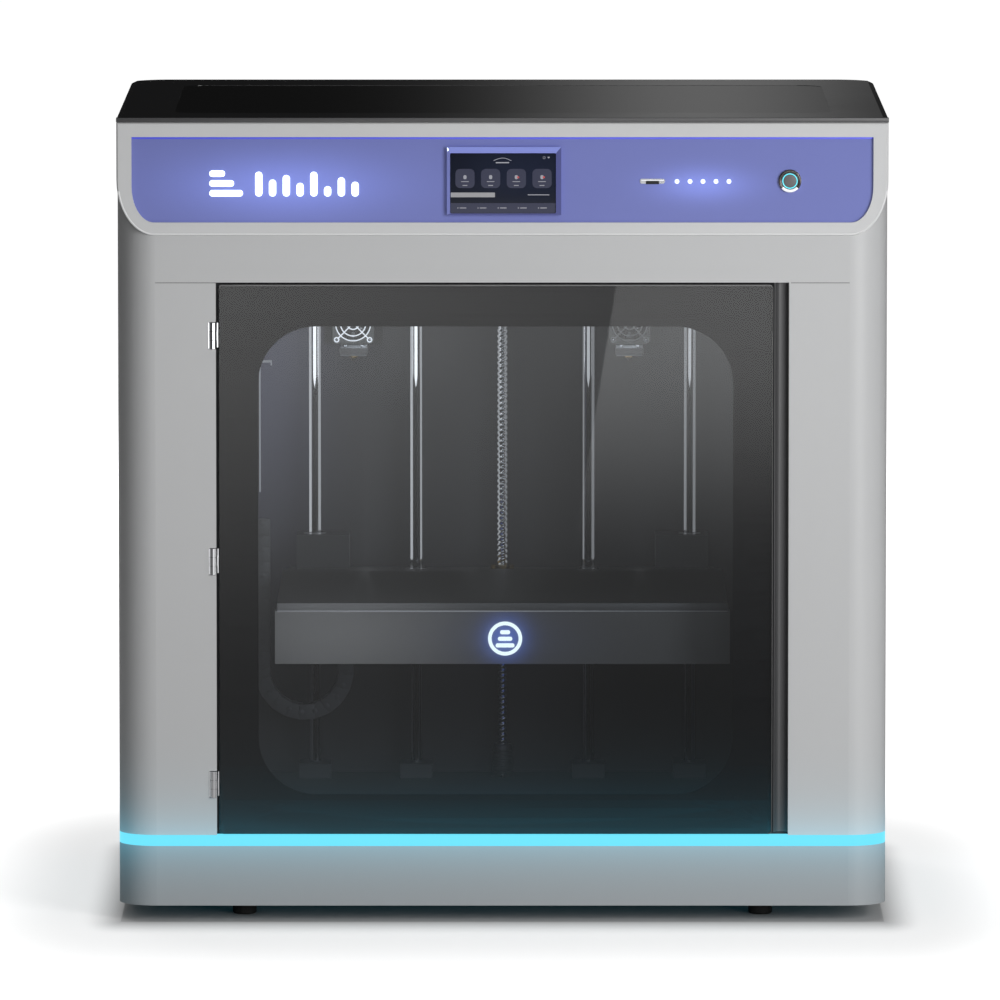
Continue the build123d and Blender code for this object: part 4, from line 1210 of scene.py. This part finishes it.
grille = {"y": 0.2082, "z": 0.560, "rings": (0.010, 0.018, 0.026, 0.034, 0.0395), "wire": 0.0009,
          "spokeOut": 0.048, "screwOut": 0.0505, "spokeEnd": 0.2068, "screwY": 0.2060}
inlet = {"x": -0.255, "z": 0.1065, "pins": ((-0.007, -0.002), (0.0, 0.002), (0.007, -0.002)), "near": 0.1895,
         "far": 0.2005, "pinWide": 0.0011, "pinTall": 0.0021, "mark": ((-0.2575, 0.20795, 0.1215),
         (-0.2525, 0.20815, 0.1220)), "screwX": -0.239, "screwY": 0.2079, "screwZ": 0.125, "screwOut": 0.0275}
rating = {"sides": (0.180, 0.262, 0.262, 0.308), "corner": 0.003, "near": 0.2060, "far": 0.2064,
          "left": 0.190, "widths": (0.060, 0.048, 0.056, 0.036), "top": 0.298, "step": 0.009, "half": 0.0010,
          "proud": 0.0001}
sleeve = {"x": 0.170, "y": 0.2092, "z": 0.430, "inner": 0.0150, "skin": 0.0153, "rib": 0.0158, "ribs": 6,
          "ribFirst": 0.006, "ribStep": 0.011, "length": 0.0750, "screwOut": 0.0235, "screwY": 0.2090}


def buildRearGrille():
    shape = Shape()
    y, z, wire, out = (grille[key] for key in ("y", "z", "wire", "screwOut"))
    for radius in grille["rings"]:
        shape.tube(circlePoints(0.0, y, z, radius, 56), wire, 8, closed=True)
    spoke = ((grille["rings"][0], y), (grille["spokeOut"], y), (out, grille["spokeEnd"]))
    for a in (math.radians(angle) for angle in (45, 135, 225, 315)):
        c, s = math.cos(a), math.sin(a)
        shape.tube([(c * reach, depth, z + s * reach) for reach, depth in spoke], wire, 8)
        head = screwProfile(0.0036, 0.0012, 0.0028, 0.0018)
        shape.lathe(head, (c * out, grille["screwY"], z + s * out), backward, 20)
    piece = shape.finish("rearGrille", [groundSteel])
    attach(piece, "enclosure")


def buildInletPins():
    shape = Shape()
    wide, tall = inlet["pinWide"], inlet["pinTall"]
    for dx, dz in inlet["pins"]:
        x, z = inlet["x"] + dx, inlet["z"] + dz
        shape.box((x - wide, inlet["near"], z - tall), (x + wide, inlet["far"], z + tall), 0.0004)
    shape.box(*inlet["mark"], 0.0, slot=1)
    for dz in (-inlet["screwOut"], inlet["screwOut"]):
        place = (inlet["screwX"], inlet["screwY"], inlet["screwZ"] + dz)
        shape.lathe(screwProfile(0.0028, 0.0010, 0.0020, 0.0014), place, backward, 18, slot=1)
    piece = shape.finish("inletPins", [brass, groundSteel])
    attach(piece, "enclosure")


def buildRatingPlate():
    shape = Shape()
    left, far, half = rating["left"], rating["far"], rating["half"]
    shape.tab(rating["sides"], rating["corner"], rating["near"], far)
    for i, width in enumerate(rating["widths"]):
        z = rating["top"] - rating["step"] * i
        shape.box((left, far, z - half), (left + width, far + rating["proud"], z + half), 0.0, slot=1)
    piece = shape.finish("ratingPlate", [lipGrey, wireWhiteGlow])
    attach(piece, "enclosure")


def sleeveProfile():
    inner, skin, rib, length = (sleeve[key] for key in ("inner", "skin", "rib", "length"))
    profile = [(inner, 0.0), (skin, 0.0)]
    for i in range(sleeve["ribs"]):
        z = sleeve["ribFirst"] + sleeve["ribStep"] * i
        profile += [(skin, z), (rib, z + 0.001), (rib, z + 0.003), (skin, z + 0.004)]
    return profile + [(skin, length - 0.0005), (inner, length)]


def buildSpindleSleeves():
    shape = Shape()
    z, out = sleeve["z"], sleeve["screwOut"]
    for x in (-sleeve["x"], sleeve["x"]):
        shape.lathe(sleeveProfile(), (x, sleeve["y"], z), backward, 48)
        for a in (math.radians(90 + 120 * k) for k in range(3)):
            place = (x + math.cos(a) * out, sleeve["screwY"], z + math.sin(a) * out)
            shape.lathe(screwProfile(0.0030, 0.0010, 0.0022, 0.0014), place, backward, 18, slot=1)
    piece = shape.finish("spindleSleeves", [rubberBlack, groundSteel])
    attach(piece, "enclosure")


buildRearGrille()
buildInletPins()
buildRatingPlate()
buildSpindleSleeves()
print("back dressed")
